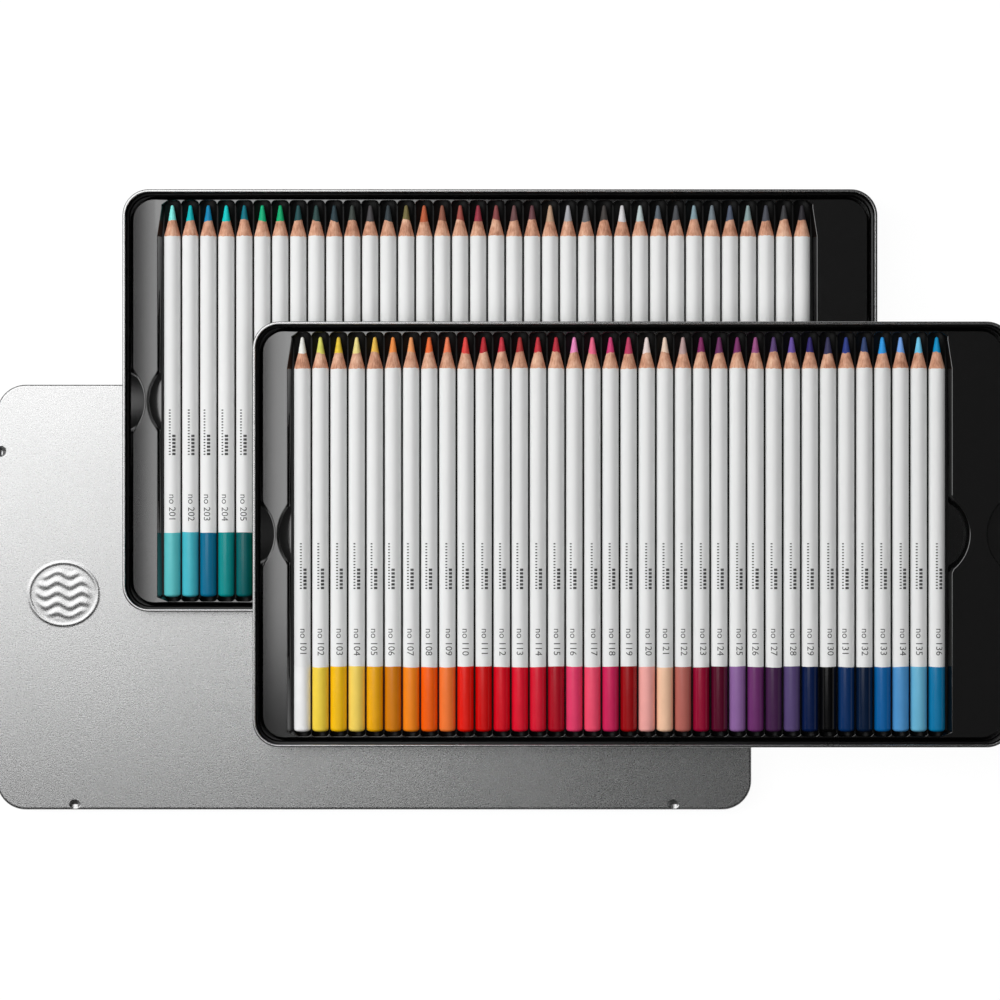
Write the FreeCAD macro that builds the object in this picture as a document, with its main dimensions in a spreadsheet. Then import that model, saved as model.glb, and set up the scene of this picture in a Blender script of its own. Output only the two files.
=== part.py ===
"""Watercolor pencil set: a tin lid and two tin trays, fanned out, each tray with a row of round pencils.

Every piece is drawn about its own middle and then placed. X runs along the trays, Y from the pencils'
blunt ends to their tips, and Z up from the table that the lid lies on. The origin is on the table, under
the middle of the fanned-out set.
"""

import FreeCAD
import Part
import Sketcher
import os

PENCILS_PER_TRAY = 36

# Pencils of the lower tray that the upper tray leaves uncovered, counted from the left.
FREE_BACK_PENCILS = 5

# The covered pencils of the lower tray are kept in bundles of this many.
BUNDLE = 4

FRONT_COLOURS = """white lime lemon straw gold amber apricot orange coral scarlet red ruby vermilion cherry
crimson pink rose fuchsia raspberry blush peach mauve wine aubergine lilac plum grape violet ultramarine
midnight cobalt navy cerulean cornflower sky azure""".split()

BACK_COLOURS = "aqua lagoon turquoise jade petrol".split()

SIZES = [
    ("pencil_count", PENCILS_PER_TRAY, "pencils in one tray"),
    ("pencil_length", 175.0, "pencil from blunt end to point"),
    ("pencil_diameter", 7.35, "lacquered barrel"),
    ("pencil_gap", 0.68, "between neighbouring barrels"),
    ("core_diameter", 3.6, "pigment core"),
    ("glue_gap", 0.02, "glue line round the core"),
    ("lead_length", 7.0, "bare core at the sharpened end"),
    ("wood_length", 7.0, "bare cedar at the sharpened end"),
    ("tip_diameter", 1.8, "blunt point where its rounding starts"),
    ("tip_round", 0.6, "height of the point's rounding"),
    ("end_round", 1.65, "rounding of the dipped end"),
    ("dip_cover", 1.0, "wood and dip that close the bore at the blunt end"),
    ("insert_sheet", 0.5, "formed plastic sheet"),
    ("groove_clearance", 0.225, "groove round the barrel"),
    ("trough_flat", 0.15, "flattening of the groove's underside, where the insert stands"),
    ("ridge_drop", 1.2, "ridge between grooves, below the pencils' axes"),
    ("land_rise", 1.6, "top of the insert, above the pencils' axes"),
    ("tip_clearance", 2.1, "end of a slot beyond the point"),
    ("end_clearance", 1.9, "end of a slot beyond the dipped end"),
    ("slot_flat", 3.9, "straight part of a slot's end"),
    ("tip_tooth", 2.0, "tooth between two slots, tip end"),
    ("end_tooth", 1.4, "tooth between two slots, blunt end"),
    ("slot_overlap", 0.1, "how far one slot's cut runs into the next"),
    ("end_lip", 0.45, "land beyond the ends of the slots"),
    ("side_gap", 2.8, "land edge from the outermost barrel"),
    ("cone_narrowing", 1.9, "how much that gap narrows beside the point"),
    ("slot_corner", 2.0, "bevel at the outer corners of the row"),
    ("side_run", 1.8, "lean of the slot's outer wall"),
    ("left_land", 11.1, "land left of the row"),
    ("right_land", 22.5, "land right of the row"),
    ("wall_run", 1.7, "lean of the insert's outer wall"),
    ("notch_radius", 20.0, "finger notch"),
    ("notch_drop", 3.8, "floor of a finger notch below the land"),
    ("notch_run", 1.6, "lean of a finger notch's wall"),
    ("left_outer_notch", 5.6, "depth of the notch between left land and tin"),
    ("left_inner_notch", 4.7, "depth of the notch between left land and pencils"),
    ("right_inner_notch", 8.0, "depth of the notch between right land and pencils"),
    ("right_outer_notch", 6.8, "depth of the notch between right land and tin"),
    ("hollow_run", 1.9, "lean of the hollows' walls under the lands"),
    ("insert_clearance", 0.3, "insert to the tin's base"),
    ("corner_relief", 1.3, "how much rounder the insert's corner is than the tin's"),
    ("tin_sheet", 0.4, "tinplate of lid and trays"),
    ("tray_corner", 11.8, "corner of a tray over the rim"),
    ("rim_curl", 1.2, "rolled rim of a tray"),
    ("stack_clearance", 0.4, "base of one tray in the rim of another"),
    ("step_height", 2.0, "stepped base of a tray"),
    ("base_round", 0.6, "lower edge of a tray"),
    ("pencil_cover", 3.7, "rim above the pencils"),
    ("lid_clearance", 0.3, "lid round a tray's rim"),
    ("lid_height", 9.0, "lid from table to panel"),
    ("lid_round", 1.0, "rounding of the lid's panel edge"),
    ("hem_thickness", 0.9, "folded lower edge of the lid"),
    ("hem_height", 1.6, "folded lower edge of the lid"),
    ("dimple_radius", 2.1, "stop dimple pressed into the lid's edge"),
    ("dimple_from_end", 35.0, "front stop dimples from the lid's ends"),
    ("dimple_from_back", 30.0, "side stop dimples from the lid's back"),
    ("seat_gap", 0.05, "between pieces that lie on each other"),
    ("back_shift_right", 56.4, "lower tray's middle, right of the lid's"),
    ("back_shift_rear", 87.7, "lower tray's middle, behind the lid's"),
    ("front_shift_right", 115.1, "upper tray's middle, right of the lid's"),
    ("front_shift_rear", 28.3, "upper tray's middle, behind the lid's"),
    ("overrun", 1.0, "how far a cut runs past the face it opens"),
]

DERIVED = [
    ("barrel", "pencil_diameter / 2", "barrel's radius"),
    ("core", "core_diameter / 2", "core's radius"),
    ("bore", "core + glue_gap", "bore's radius"),
    ("pitch", "pencil_diameter + pencil_gap", "from pencil to pencil"),
    ("row", "(pencil_count - 1) * pitch", "from the first axis to the last"),
    ("groove", "barrel + groove_clearance", "groove's radius"),
    ("axis_height", "groove + insert_sheet - trough_flat", "pencils' axes above the insert's foot"),
    ("ridge_height", "axis_height - ridge_drop", "ridges above the insert's foot"),
    ("insert_height", "axis_height + land_rise", "lands above the insert's foot"),
    ("land_width", "left_land + right_land + 2 * side_gap + pencil_diameter + row", "insert's top"),
    ("land_depth", "pencil_length + tip_clearance + end_clearance + 2 * end_lip", "insert's top"),
    ("insert_width", "land_width + 2 * wall_run", "insert's foot"),
    ("insert_depth", "land_depth + 2 * wall_run", "insert's foot"),
    ("first_axis", "left_land + side_gap + barrel - land_width / 2", "first pencil's X in its tray"),
    ("last_axis", "first_axis + row", "last pencil's X in its tray"),
    ("slot_front", "end_lip - land_depth / 2", "blunt ends of the slots"),
    ("slot_rear", "land_depth / 2 - end_lip", "tip ends of the slots"),
    ("pencil_end", "slot_front + end_clearance", "pencils' blunt ends in their tray"),
    ("groove_front", "slot_front + end_tooth", "blunt end of the grooves"),
    ("groove_rear", "slot_rear - tip_tooth", "tip end of the grooves"),
    ("base_inset", "rim_curl + stack_clearance", "tray's base inside its rim"),
    ("wall_inset", "(rim_curl - tin_sheet) / 2", "tray's wall inside its rim"),
    ("rim_to_insert", "base_inset + tin_sheet + insert_clearance", "insert's foot inside the rim"),
    ("tray_width", "insert_width + 2 * rim_to_insert", "over the rim"),
    ("tray_depth", "insert_depth + 2 * rim_to_insert", "over the rim"),
    ("insert_corner", "tray_corner - base_inset - tin_sheet + corner_relief", "corner of the insert's foot"),
    ("insert_seat", "tin_sheet + seat_gap", "insert's foot above the tray's base"),
    ("tray_height", "insert_seat + axis_height + barrel + pencil_cover", "base to rim"),
    ("lid_width", "tray_width + 2 * (lid_clearance + hem_thickness)", "outside"),
    ("lid_depth", "tray_depth + 2 * (lid_clearance + hem_thickness)", "outside"),
    ("lid_corner", "tray_corner + lid_clearance + hem_thickness", "outside"),
    ("lid_x", "(lid_width - tray_width) / 4 - front_shift_right / 2", "lid's middle from the origin"),
    ("lid_y", "(lid_depth - tray_depth) / 4 - back_shift_rear / 2", "lid's middle from the origin"),
    ("back_x", "lid_x + back_shift_right", "lower tray's middle"),
    ("back_y", "lid_y + back_shift_rear", "lower tray's middle"),
    ("back_z", "lid_height + seat_gap", "lower tray's base"),
    ("front_x", "lid_x + front_shift_right", "upper tray's middle"),
    ("front_y", "lid_y + front_shift_rear", "upper tray's middle"),
    ("front_z", "back_z + tray_height + seat_gap", "upper tray's base"),
]

doc = FreeCAD.newDocument("watercolor_pencil_set")
dim = doc.addObject("Spreadsheet::Sheet", "dim")


def fill_sheet():
    """Writes each size as a plain number and each derived size as a formula, under its own alias."""
    rows = [(name, str(number), meaning) for name, number, meaning in SIZES]
    rows += [(name, "=" + formula, meaning) for name, formula, meaning in DERIVED]
    for row, (name, content, meaning) in enumerate(rows, start=1):
        dim.set(f"A{row}", name)
        dim.set(f"B{row}", content)
        dim.setAlias(f"B{row}", name)
        dim.set(f"C{row}", meaning)
    doc.recompute()


def number(expression):
    """What an expression in the sheet's sizes comes to."""
    return float(dim.evalExpression(expression))


def bind(thing, **expressions):
    """Ties properties of an object to the sheet; a double underscore stands for a dot in a path."""
    for path, expression in expressions.items():
        thing.setExpression(path.replace("__", "."), expression)


def place(thing, x="0", y="0", z="0"):
    """Ties an object's position to the sheet."""
    bind(thing, Placement__Base__x=x, Placement__Base__y=y, Placement__Base__z=z)


def add_body(name):
    return doc.addObject("PartDesign::Body", name)


def add_sketch(body, name, plane="XY_Plane", level="0"):
    """An empty sketch on one of the body's origin planes, moved along that plane's normal."""
    sketch = body.newObject("Sketcher::SketchObject", name)
    support = next(item for item in body.Origin.OriginFeatures if item.Role == plane)
    sketch.AttachmentSupport = [(support, "")]
    sketch.MapMode = "FlatFace"
    bind(sketch, AttachmentOffset__Base__z=level)
    return sketch


def fix_point(sketch, side, end, label, x, y):
    """Ties one point of a sketch to the sheet by its two distances from the sketch's origin."""
    for axis, expression in (("X", x), ("Y", y)):
        constraint = Sketcher.Constraint("Distance" + axis, -1, 1, side, end, number(expression))
        index = sketch.addConstraint(constraint)
        sketch.renameConstraint(index, axis.lower() + label)
        sketch.setExpression("Constraints." + axis.lower() + label, expression)


def add_outline(sketch, corners, arcs=()):
    """Closes an outline through corners given as pairs of expressions.

    arcs holds (side, radius, centre x, centre y, turn): that side is an arc, with turn 1 when it runs
    counter-clockwise about its centre and -1 when it runs clockwise.
    """
    points = [FreeCAD.Vector(number(x), number(y), 0) for x, y in corners]
    round_sides = {side: rest for side, *rest in arcs}
    first = sketch.GeometryCount
    for side, start in enumerate(points):
        finish = points[(side + 1) % len(points)]
        if side not in round_sides:
            sketch.addGeometry(Part.LineSegment(start, finish), False)
            continue
        radius, centre_x, centre_y, turn = round_sides[side]
        centre = FreeCAD.Vector(number(centre_x), number(centre_y), 0)
        circle = Part.Circle(centre, FreeCAD.Vector(0, 0, 1), number(radius))
        low, high = (start, finish) if turn > 0 else (finish, start)
        sketch.addGeometry(Part.ArcOfCircle(circle, circle.parameter(low), circle.parameter(high)), False)
    turns = [round_sides[side][3] if side in round_sides else 1 for side in range(len(points))]
    for side, (x, y) in enumerate(corners):
        before = side - 1 if side else len(points) - 1
        entry, leaving = (1 if turns[side] > 0 else 2), (2 if turns[before] > 0 else 1)
        sketch.addConstraint(Sketcher.Constraint("Coincident", first + before, leaving, first + side, entry))
        fix_point(sketch, first + side, entry, str(first + side), x, y)
        if side in round_sides:
            radius = round_sides[side][0]
            index = sketch.addConstraint(Sketcher.Constraint("Radius", first + side, number(radius)))
            sketch.renameConstraint(index, f"radius{first + side}")
            sketch.setExpression(f"Constraints.radius{first + side}", radius)


def add_rounded_rectangle(sketch, width, depth, corner):
    """A rounded rectangle about the sketch's origin, started in the middle of its right side."""
    side, flank = f"({width}) / 2", f"({width}) / 2 - ({corner})"
    end, head = f"({depth}) / 2", f"({depth}) / 2 - ({corner})"
    corners = [
        (side, "0"),
        (side, head),
        (flank, end),
        (f"-({flank})", end),
        (f"-({side})", head),
        (f"-({side})", f"-({head})"),
        (f"-({flank})", f"-({end})"),
        (flank, f"-({end})"),
        (side, f"-({head})"),
    ]
    arcs = [
        (1, corner, flank, head, 1),
        (3, corner, f"-({flank})", head, 1),
        (5, corner, f"-({flank})", f"-({head})", 1),
        (7, corner, flank, f"-({head})", 1),
    ]
    add_outline(sketch, corners, arcs)


def add_feature(body, kind, name, profile, **expressions):
    """A pad, pocket or other sketched feature of a body, with its sizes tied to the sheet."""
    feature = body.newObject("PartDesign::" + kind, name)
    feature.Profile = profile
    bind(feature, **expressions)
    profile.Visibility = False
    return feature


def cut(body, name, profile, length, upward=False, taper=None):
    """A pocket that must take material away."""
    before = body.Shape.Volume
    pocket = add_feature(body, "Pocket", name, profile, Length=length)
    pocket.Reversed = upward
    if taper:
        bind(pocket, TaperAngle=taper)
    doc.recompute()
    if not body.Shape.Volume < before:
        raise RuntimeError(f"{name} cut nothing")
    return pocket


def repeat(body, name, feature, count, spacing):
    """Copies of a feature in a row along X."""
    pattern = body.newObject("PartDesign::LinearPattern", name)
    pattern.Originals = [feature]
    pattern.Direction = (feature.Profile[0], ["H_Axis"])
    bind(pattern, Occurrences=count, Length=f"({count} - 1) * ({spacing})")
    body.Tip = pattern
    doc.recompute()
    return pattern


def level_edges(shape, height):
    """Names of the edges that lie wholly at one height."""
    small = FreeCAD.Base.Precision.confusion() * 10
    names = []
    for index, edge in enumerate(shape.Edges, start=1):
        box = edge.BoundBox
        if abs(box.ZMin - height) < small and abs(box.ZMax - height) < small:
            names.append(f"Edge{index}")
    return names


def add_tray_shell(body, sketch_name, feature_name, inset, low, high, kind="Pad"):
    """Pads or pockets the tray's outline, drawn in from the rim by inset, from one height to another."""
    sketch = add_sketch(body, sketch_name, level=low)
    add_rounded_rectangle(
        sketch,
        f"dim.tray_width - 2 * ({inset})",
        f"dim.tray_depth - 2 * ({inset})",
        f"dim.tray_corner - ({inset})",
    )
    if kind == "Pad":
        return add_feature(body, kind, feature_name, sketch, Length=f"{high} - ({low})")
    return cut(body, feature_name, sketch, f"{high} - ({low})", upward=True)


def make_tray():
    """A drawn tin: stepped base, upright wall and a round rolled rim."""
    body = add_body("tray")
    rim_middle = "dim.tray_height - dim.rim_curl / 2"
    ledge = "dim.step_height + dim.tin_sheet"
    base = add_tray_shell(body, "base_outline", "base", "dim.base_inset", "0", ledge)
    doc.recompute()
    lower_edge = body.newObject("PartDesign::Fillet", "base_rounding")
    lower_edge.Base = (base, level_edges(base.Shape, 0))
    bind(lower_edge, Radius="dim.base_round")
    add_tray_shell(body, "wall_outline", "wall", "dim.wall_inset", "dim.step_height", rim_middle)
    doc.recompute()
    wall_inside = "dim.wall_inset + dim.tin_sheet"
    add_tray_shell(body, "wall_void_outline", "wall_void", wall_inside, ledge, rim_middle, "Pocket")
    base_inside = "dim.base_inset + dim.tin_sheet"
    add_tray_shell(body, "base_void_outline", "base_void", base_inside, "dim.tin_sheet", ledge, "Pocket")
    path = add_sketch(body, "rim_path", level=rim_middle)
    add_rounded_rectangle(
        path,
        "dim.tray_width - dim.rim_curl",
        "dim.tray_depth - dim.rim_curl",
        "dim.tray_corner - dim.rim_curl / 2",
    )
    section = add_sketch(body, "rim_section", plane="XZ_Plane")
    middle = FreeCAD.Vector(number("(dim.tray_width - dim.rim_curl) / 2"), number(rim_middle), 0)
    circle = Part.Circle(middle, FreeCAD.Vector(0, 0, 1), number("dim.rim_curl / 2"))
    section.addGeometry(circle, False)
    fix_point(section, 0, 3, "middle", "(dim.tray_width - dim.rim_curl) / 2", rim_middle)
    section.addConstraint(Sketcher.Constraint("Radius", 0, circle.Radius))
    section.renameConstraint(section.ConstraintCount - 1, "curl")
    section.setExpression("Constraints.curl", "dim.rim_curl / 2")
    rim = add_feature(body, "AdditivePipe", "rim", section)
    rim.Spine = (path, [f"Edge{side + 1}" for side in range(path.GeometryCount)])
    path.Visibility = False
    doc.recompute()
    return body


def add_lid_shell(body, name, inset, low, high):
    """Pads the lid's outline, drawn in by inset, from one height to another."""
    sketch = add_sketch(body, name + "_outline", level=low)
    add_rounded_rectangle(
        sketch,
        f"dim.lid_width - 2 * ({inset})",
        f"dim.lid_depth - 2 * ({inset})",
        f"dim.lid_corner - ({inset})",
    )
    return add_feature(body, "Pad", name, sketch, Length=f"{high} - ({low})")


def round_top(body, name, pad, height, radius):
    """Rounds the upper edge of a padded outline."""
    doc.recompute()
    rounding = body.newObject("PartDesign::Fillet", name)
    rounding.Base = (pad, level_edges(pad.Shape, number(height)))
    bind(rounding, Radius=radius)
    doc.recompute()


def make_lid():
    """A pressed tin lid: flat panel, rounded edge, folded hem and stop dimples pressed in from outside."""
    block = add_body("lid_block")
    outside = add_lid_shell(block, "lid_outside", "0", "0", "dim.lid_height")
    round_top(block, "lid_rounding", outside, "dim.lid_height", "dim.lid_round")
    void = add_body("lid_void")
    ceiling = "dim.lid_height - dim.tin_sheet"
    inside = add_lid_shell(void, "lid_inside", "dim.tin_sheet", "dim.hem_height", ceiling)
    round_top(void, "lid_inner_rounding", inside, ceiling, "dim.lid_round - dim.tin_sheet")
    add_lid_shell(void, "lid_mouth", "dim.hem_thickness", "-dim.overrun", "dim.hem_height + dim.overrun")
    doc.recompute()

    along, across = "dim.lid_width / 2 - dim.dimple_from_end", "dim.lid_depth / 2 - dim.dimple_from_back"
    side, front = "dim.lid_width / 2", "-dim.lid_depth / 2"
    spots = [(f"-({along})", front), (along, front), (f"-{side}", across), (side, across)]
    dents = add_spheres("dent", spots, "dim.dimple_radius")
    bumps = add_spheres("bump", spots, "dim.dimple_radius + dim.tin_sheet")

    shell = add_boolean("Cut", "lid_shell", block, void)
    backing = add_boolean("Common", "lid_bumps", block, bumps)
    whole = add_boolean("Fuse", "lid_with_bumps", shell, backing)
    lid = add_boolean("Cut", "lid", whole, dents)
    place(lid, "dim.lid_x", "dim.lid_y")
    return lid


def add_spheres(name, spots, radius):
    """Spheres on the lid's panel edge, as one object."""
    spheres = []
    for index, (x, y) in enumerate(spots, start=1):
        sphere = doc.addObject("Part::Sphere", f"{name}_{index}")
        bind(sphere, Radius=radius)
        place(sphere, x, y, "dim.lid_height")
        spheres.append(sphere)
    return add_compound(name + "s", spheres)


def add_boolean(kind, name, base, tool):
    result = doc.addObject("Part::" + kind, name)
    result.Base = base
    result.Tool = tool
    doc.recompute()
    return result


def add_compound(name, members):
    group = doc.addObject("Part::Compound", name)
    group.Links = members
    return group


def add_notch(body, name, edge, depth, mouth, outward):
    """A finger notch cut down into a land: an arc that reaches depth past the land's edge.

    edge and mouth are the X of the land's edge and of the chord that closes the arc clear of the land.
    outward is 1 where the arc bulges towards +X and -1 where it bulges towards -X.
    """
    sketch = add_sketch(body, name + "_outline", level="dim.insert_height")
    middle = f"{edge} + ({outward}) * ({depth} - dim.notch_radius)"
    half = f"sqrt(dim.notch_radius ^ 2 - ({mouth} - ({middle})) ^ 2)"
    bottom, top = (mouth, f"-{half}"), (mouth, half)
    corners = [bottom, top] if outward > 0 else [top, bottom]
    add_outline(sketch, corners, [(0, "dim.notch_radius", middle, "0", 1)])
    cut(body, name, sketch, "dim.notch_drop", taper="-atan(dim.notch_run / dim.notch_drop)")


def add_side_slot(body, name, axis, outward):
    """Widens the outermost slot towards its land, less beside the sharpened cone, with a leaning wall."""
    sketch = add_sketch(body, name + "_outline", level="dim.insert_height")
    outer = f"{axis} + ({outward}) * (dim.barrel + dim.side_gap)"
    narrow = f"{outer} - ({outward}) * dim.cone_narrowing"
    shoulder = "dim.pencil_end + dim.pencil_length - dim.lead_length - dim.wood_length"
    corners = [
        (axis, "dim.slot_front"),
        (f"{outer} - ({outward}) * dim.slot_corner", "dim.slot_front"),
        (outer, "dim.slot_front + dim.slot_corner"),
        (outer, shoulder),
        (narrow, "dim.slot_rear - dim.slot_corner"),
        (f"{narrow} - ({outward}) * dim.slot_corner", "dim.slot_rear"),
        (axis, "dim.slot_rear"),
    ]
    add_outline(sketch, corners)
    depth = "dim.insert_height - dim.ridge_height"
    cut(body, name, sketch, depth, taper=f"-atan(dim.side_run / ({depth}))")


def add_slots(body):
    """The open space over each groove, down to the ridges, with bevelled ends past the pencil."""
    sketch = add_sketch(body, "slot_outline", level="dim.insert_height")
    half, flat = "(dim.pitch + dim.slot_overlap) / 2", "dim.slot_flat / 2"
    right = [
        (flat, "dim.slot_front"),
        (half, "dim.slot_front + dim.end_tooth"),
        (half, "dim.slot_rear - dim.tip_tooth"),
        (flat, "dim.slot_rear"),
    ]
    corners = [(f"dim.first_axis + {x}", y) for x, y in right]
    corners += [(f"dim.first_axis - {x}", y) for x, y in reversed(right)]
    add_outline(sketch, corners)
    slot = cut(body, "slot", sketch, "dim.insert_height - dim.ridge_height")
    repeat(body, "slots", slot, "dim.pencil_count", "dim.pitch")


def add_grooves(body):
    """The round grooves that the barrels lie in."""
    sketch = add_sketch(body, "groove_section", plane="XZ_Plane", level="-dim.groove_rear")
    centre = FreeCAD.Vector(number("dim.first_axis"), number("dim.axis_height"), 0)
    sketch.addGeometry(Part.Circle(centre, FreeCAD.Vector(0, 0, 1), number("dim.groove")), False)
    fix_point(sketch, 0, 3, "axis", "dim.first_axis", "dim.axis_height")
    sketch.addConstraint(Sketcher.Constraint("Radius", 0, number("dim.groove")))
    sketch.renameConstraint(sketch.ConstraintCount - 1, "groove")
    sketch.setExpression("Constraints.groove", "dim.groove")
    groove = cut(body, "groove", sketch, "dim.groove_rear - dim.groove_front", upward=True)
    repeat(body, "grooves", groove, "dim.pencil_count", "dim.pitch")


def add_cusps(body):
    """The hollows between the grooves on the insert's underside, one sheet below the ridges."""
    sketch = add_sketch(body, "cusp_section", plane="XZ_Plane", level="-dim.groove_rear")
    outer = "dim.groove + dim.insert_sheet"
    middle = "dim.first_axis + dim.pitch / 2"
    foot = f"sqrt(({outer}) ^ 2 - dim.axis_height ^ 2)"
    crest = f"dim.axis_height - sqrt(({outer}) ^ 2 - (dim.pitch / 2) ^ 2)"
    corners = [
        (f"dim.first_axis + {foot}", "0"),
        (f"dim.first_axis + dim.pitch - {foot}", "0"),
        (middle, crest),
    ]
    arcs = [
        (1, outer, "dim.first_axis + dim.pitch", "dim.axis_height", -1),
        (2, outer, "dim.first_axis", "dim.axis_height", -1),
    ]
    add_outline(sketch, corners, arcs)
    cusp = cut(body, "cusp", sketch, "dim.groove_rear - dim.groove_front", upward=True)
    repeat(body, "cusps", cusp, "dim.pencil_count - 1", "dim.pitch")


def add_land_hollows(body):
    """Hollows the lands from below, in front of and behind the finger notches."""
    sheet = "dim.insert_sheet"
    far = f"dim.insert_width / 2 - {sheet}"
    left_inner = f"dim.first_axis - dim.groove - {sheet}"
    right_inner = f"dim.last_axis + dim.groove + {sheet}"
    end = f"dim.insert_depth / 2 - {sheet} - dim.insert_corner / 2"
    start = "dim.notch_radius"
    spans = [(f"-({far})", left_inner), (right_inner, far)]
    sketch = add_sketch(body, "hollow_outline")
    for low_x, high_x in spans:
        for low_y, high_y in [(f"-({end})", f"-{start}"), (start, end)]:
            add_outline(sketch, [(low_x, low_y), (high_x, low_y), (high_x, high_y), (low_x, high_y)])
    depth = f"dim.insert_height - {sheet}"
    cut(body, "hollows", sketch, depth, upward=True, taper=f"-atan(dim.hollow_run / ({depth}))")


def make_insert():
    """A formed plastic liner: leaning outer wall, grooves with bevelled ends, lands and finger notches."""
    body = add_body("insert")
    sketch = add_sketch(body, "insert_outline")
    add_rounded_rectangle(sketch, "dim.insert_width", "dim.insert_depth", "dim.insert_corner")
    lean = "-atan(dim.wall_run / dim.insert_height)"
    add_feature(body, "Pad", "insert_block", sketch, Length="dim.insert_height", TaperAngle=lean)
    doc.recompute()
    left_edge, right_edge = "-dim.land_width / 2", "dim.land_width / 2"
    left_bank = f"{left_edge} + dim.left_land"
    right_bank = f"{right_edge} - dim.right_land"
    foot = "dim.insert_width / 2 + dim.overrun"
    add_notch(body, "left_outer", left_edge, "dim.left_outer_notch", f"-({foot})", 1)
    add_notch(body, "left_inner", left_bank, "dim.left_inner_notch", "dim.first_axis", -1)
    add_notch(body, "right_inner", right_bank, "dim.right_inner_notch", "dim.last_axis", 1)
    add_notch(body, "right_outer", right_edge, "dim.right_outer_notch", foot, -1)
    add_side_slot(body, "left_side", "dim.first_axis", -1)
    add_side_slot(body, "right_side", "dim.last_axis", 1)
    add_land_hollows(body)
    add_slots(body)
    add_grooves(body)
    add_cusps(body)
    return body


def make_casing():
    """A pencil's cedar casing: rounded dipped end, round barrel, sharpened cone and a bore for the core."""
    body = add_body("casing")
    sketch = add_sketch(body, "casing_profile")
    mouth = "dim.pencil_length - dim.lead_length"
    corners = [
        ("0", "0"),
        ("dim.barrel - dim.end_round", "0"),
        ("dim.barrel", "dim.end_round"),
        ("dim.barrel", f"{mouth} - dim.wood_length"),
        ("dim.bore", mouth),
        ("dim.bore", "dim.dip_cover"),
        ("0", "dim.dip_cover"),
    ]
    rounding = (1, "dim.end_round", "dim.barrel - dim.end_round", "dim.end_round", 1)
    add_outline(sketch, corners, [rounding])
    turned = add_feature(body, "Revolution", "casing_turned", sketch)
    turned.ReferenceAxis = (sketch, ["V_Axis"])
    doc.recompute()
    return body


def make_core():
    """A pencil's core: a plain rod in the casing, a slender cone and a blunt rounded point outside it."""
    body = add_body("core")
    sketch = add_sketch(body, "core_profile")
    tip = "dim.tip_diameter / 2"
    sphere = f"(({tip}) ^ 2 + dim.tip_round ^ 2) / (2 * dim.tip_round)"
    corners = [
        ("0", "dim.dip_cover + dim.glue_gap"),
        ("dim.core", "dim.dip_cover + dim.glue_gap"),
        ("dim.core", "dim.pencil_length - dim.lead_length"),
        (tip, "dim.pencil_length - dim.tip_round"),
        ("0", "dim.pencil_length"),
    ]
    add_outline(sketch, corners, [(3, sphere, "0", f"dim.pencil_length - {sphere}", 1)])
    turned = add_feature(body, "Revolution", "core_turned", sketch)
    turned.ReferenceAxis = (sketch, ["V_Axis"])
    doc.recompute()
    return body


def make_pencils(tray, names, casing, core):
    """A row of pencils in one tray, each a casing with its core."""
    pencils = []
    for index, name in enumerate(names):
        pencil = add_compound(name, [casing, core])
        place(
            pencil,
            f"dim.{tray}_x + dim.first_axis + {index} * dim.pitch",
            f"dim.{tray}_y + dim.pencil_end",
            f"dim.{tray}_z + dim.insert_seat + dim.axis_height",
        )
        pencils.append(pencil)
    return pencils


def check(things):
    """Stops the build where an object failed or a piece has no sound shape."""
    for thing in doc.Objects:
        if "Invalid" in thing.State or "Error" in thing.State:
            raise RuntimeError(f"{thing.Label} failed: {thing.State}")
    for thing in things:
        if thing.Shape.isNull() or not thing.Shape.isValid():
            raise RuntimeError(f"{thing.Label} has no valid shape")


fill_sheet()
pieces = [make_lid()]

tray_master = make_tray()
insert_master = make_insert()
for tray in ("back", "front"):
    tin = add_compound(f"{tray}_tray", [tray_master])
    place(tin, f"dim.{tray}_x", f"dim.{tray}_y", f"dim.{tray}_z")
    liner = add_compound(f"{tray}_insert", [insert_master])
    place(liner, f"dim.{tray}_x", f"dim.{tray}_y", f"dim.{tray}_z + dim.insert_seat")
    pieces += [tin, liner]

casing_master = make_casing()
core_master = make_core()
front_names = [f"pencil_{index:02d}_{colour}" for index, colour in enumerate(FRONT_COLOURS, start=1)]
pieces += make_pencils("front", front_names, casing_master, core_master)

free_names = [f"back_pencil_{index:02d}_{colour}" for index, colour in enumerate(BACK_COLOURS, start=1)]
covered_names = [f"covered_{index:02d}" for index in range(FREE_BACK_PENCILS + 1, PENCILS_PER_TRAY + 1)]
back_pencils = make_pencils("back", free_names + covered_names, casing_master, core_master)
pieces += back_pencils[:FREE_BACK_PENCILS]
for start in range(FREE_BACK_PENCILS, PENCILS_PER_TRAY, BUNDLE):
    bundle = back_pencils[start : start + BUNDLE]
    pieces.append(add_compound(f"back_pencils_{start + 1:02d}_to_{start + len(bundle):02d}", bundle))

doc.recompute()
check(pieces)
os.makedirs("parts", exist_ok=True)
for piece in pieces:
    piece.Shape.exportStep(f"parts/{piece.Label}.step")
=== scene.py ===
import math
import random

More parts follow.
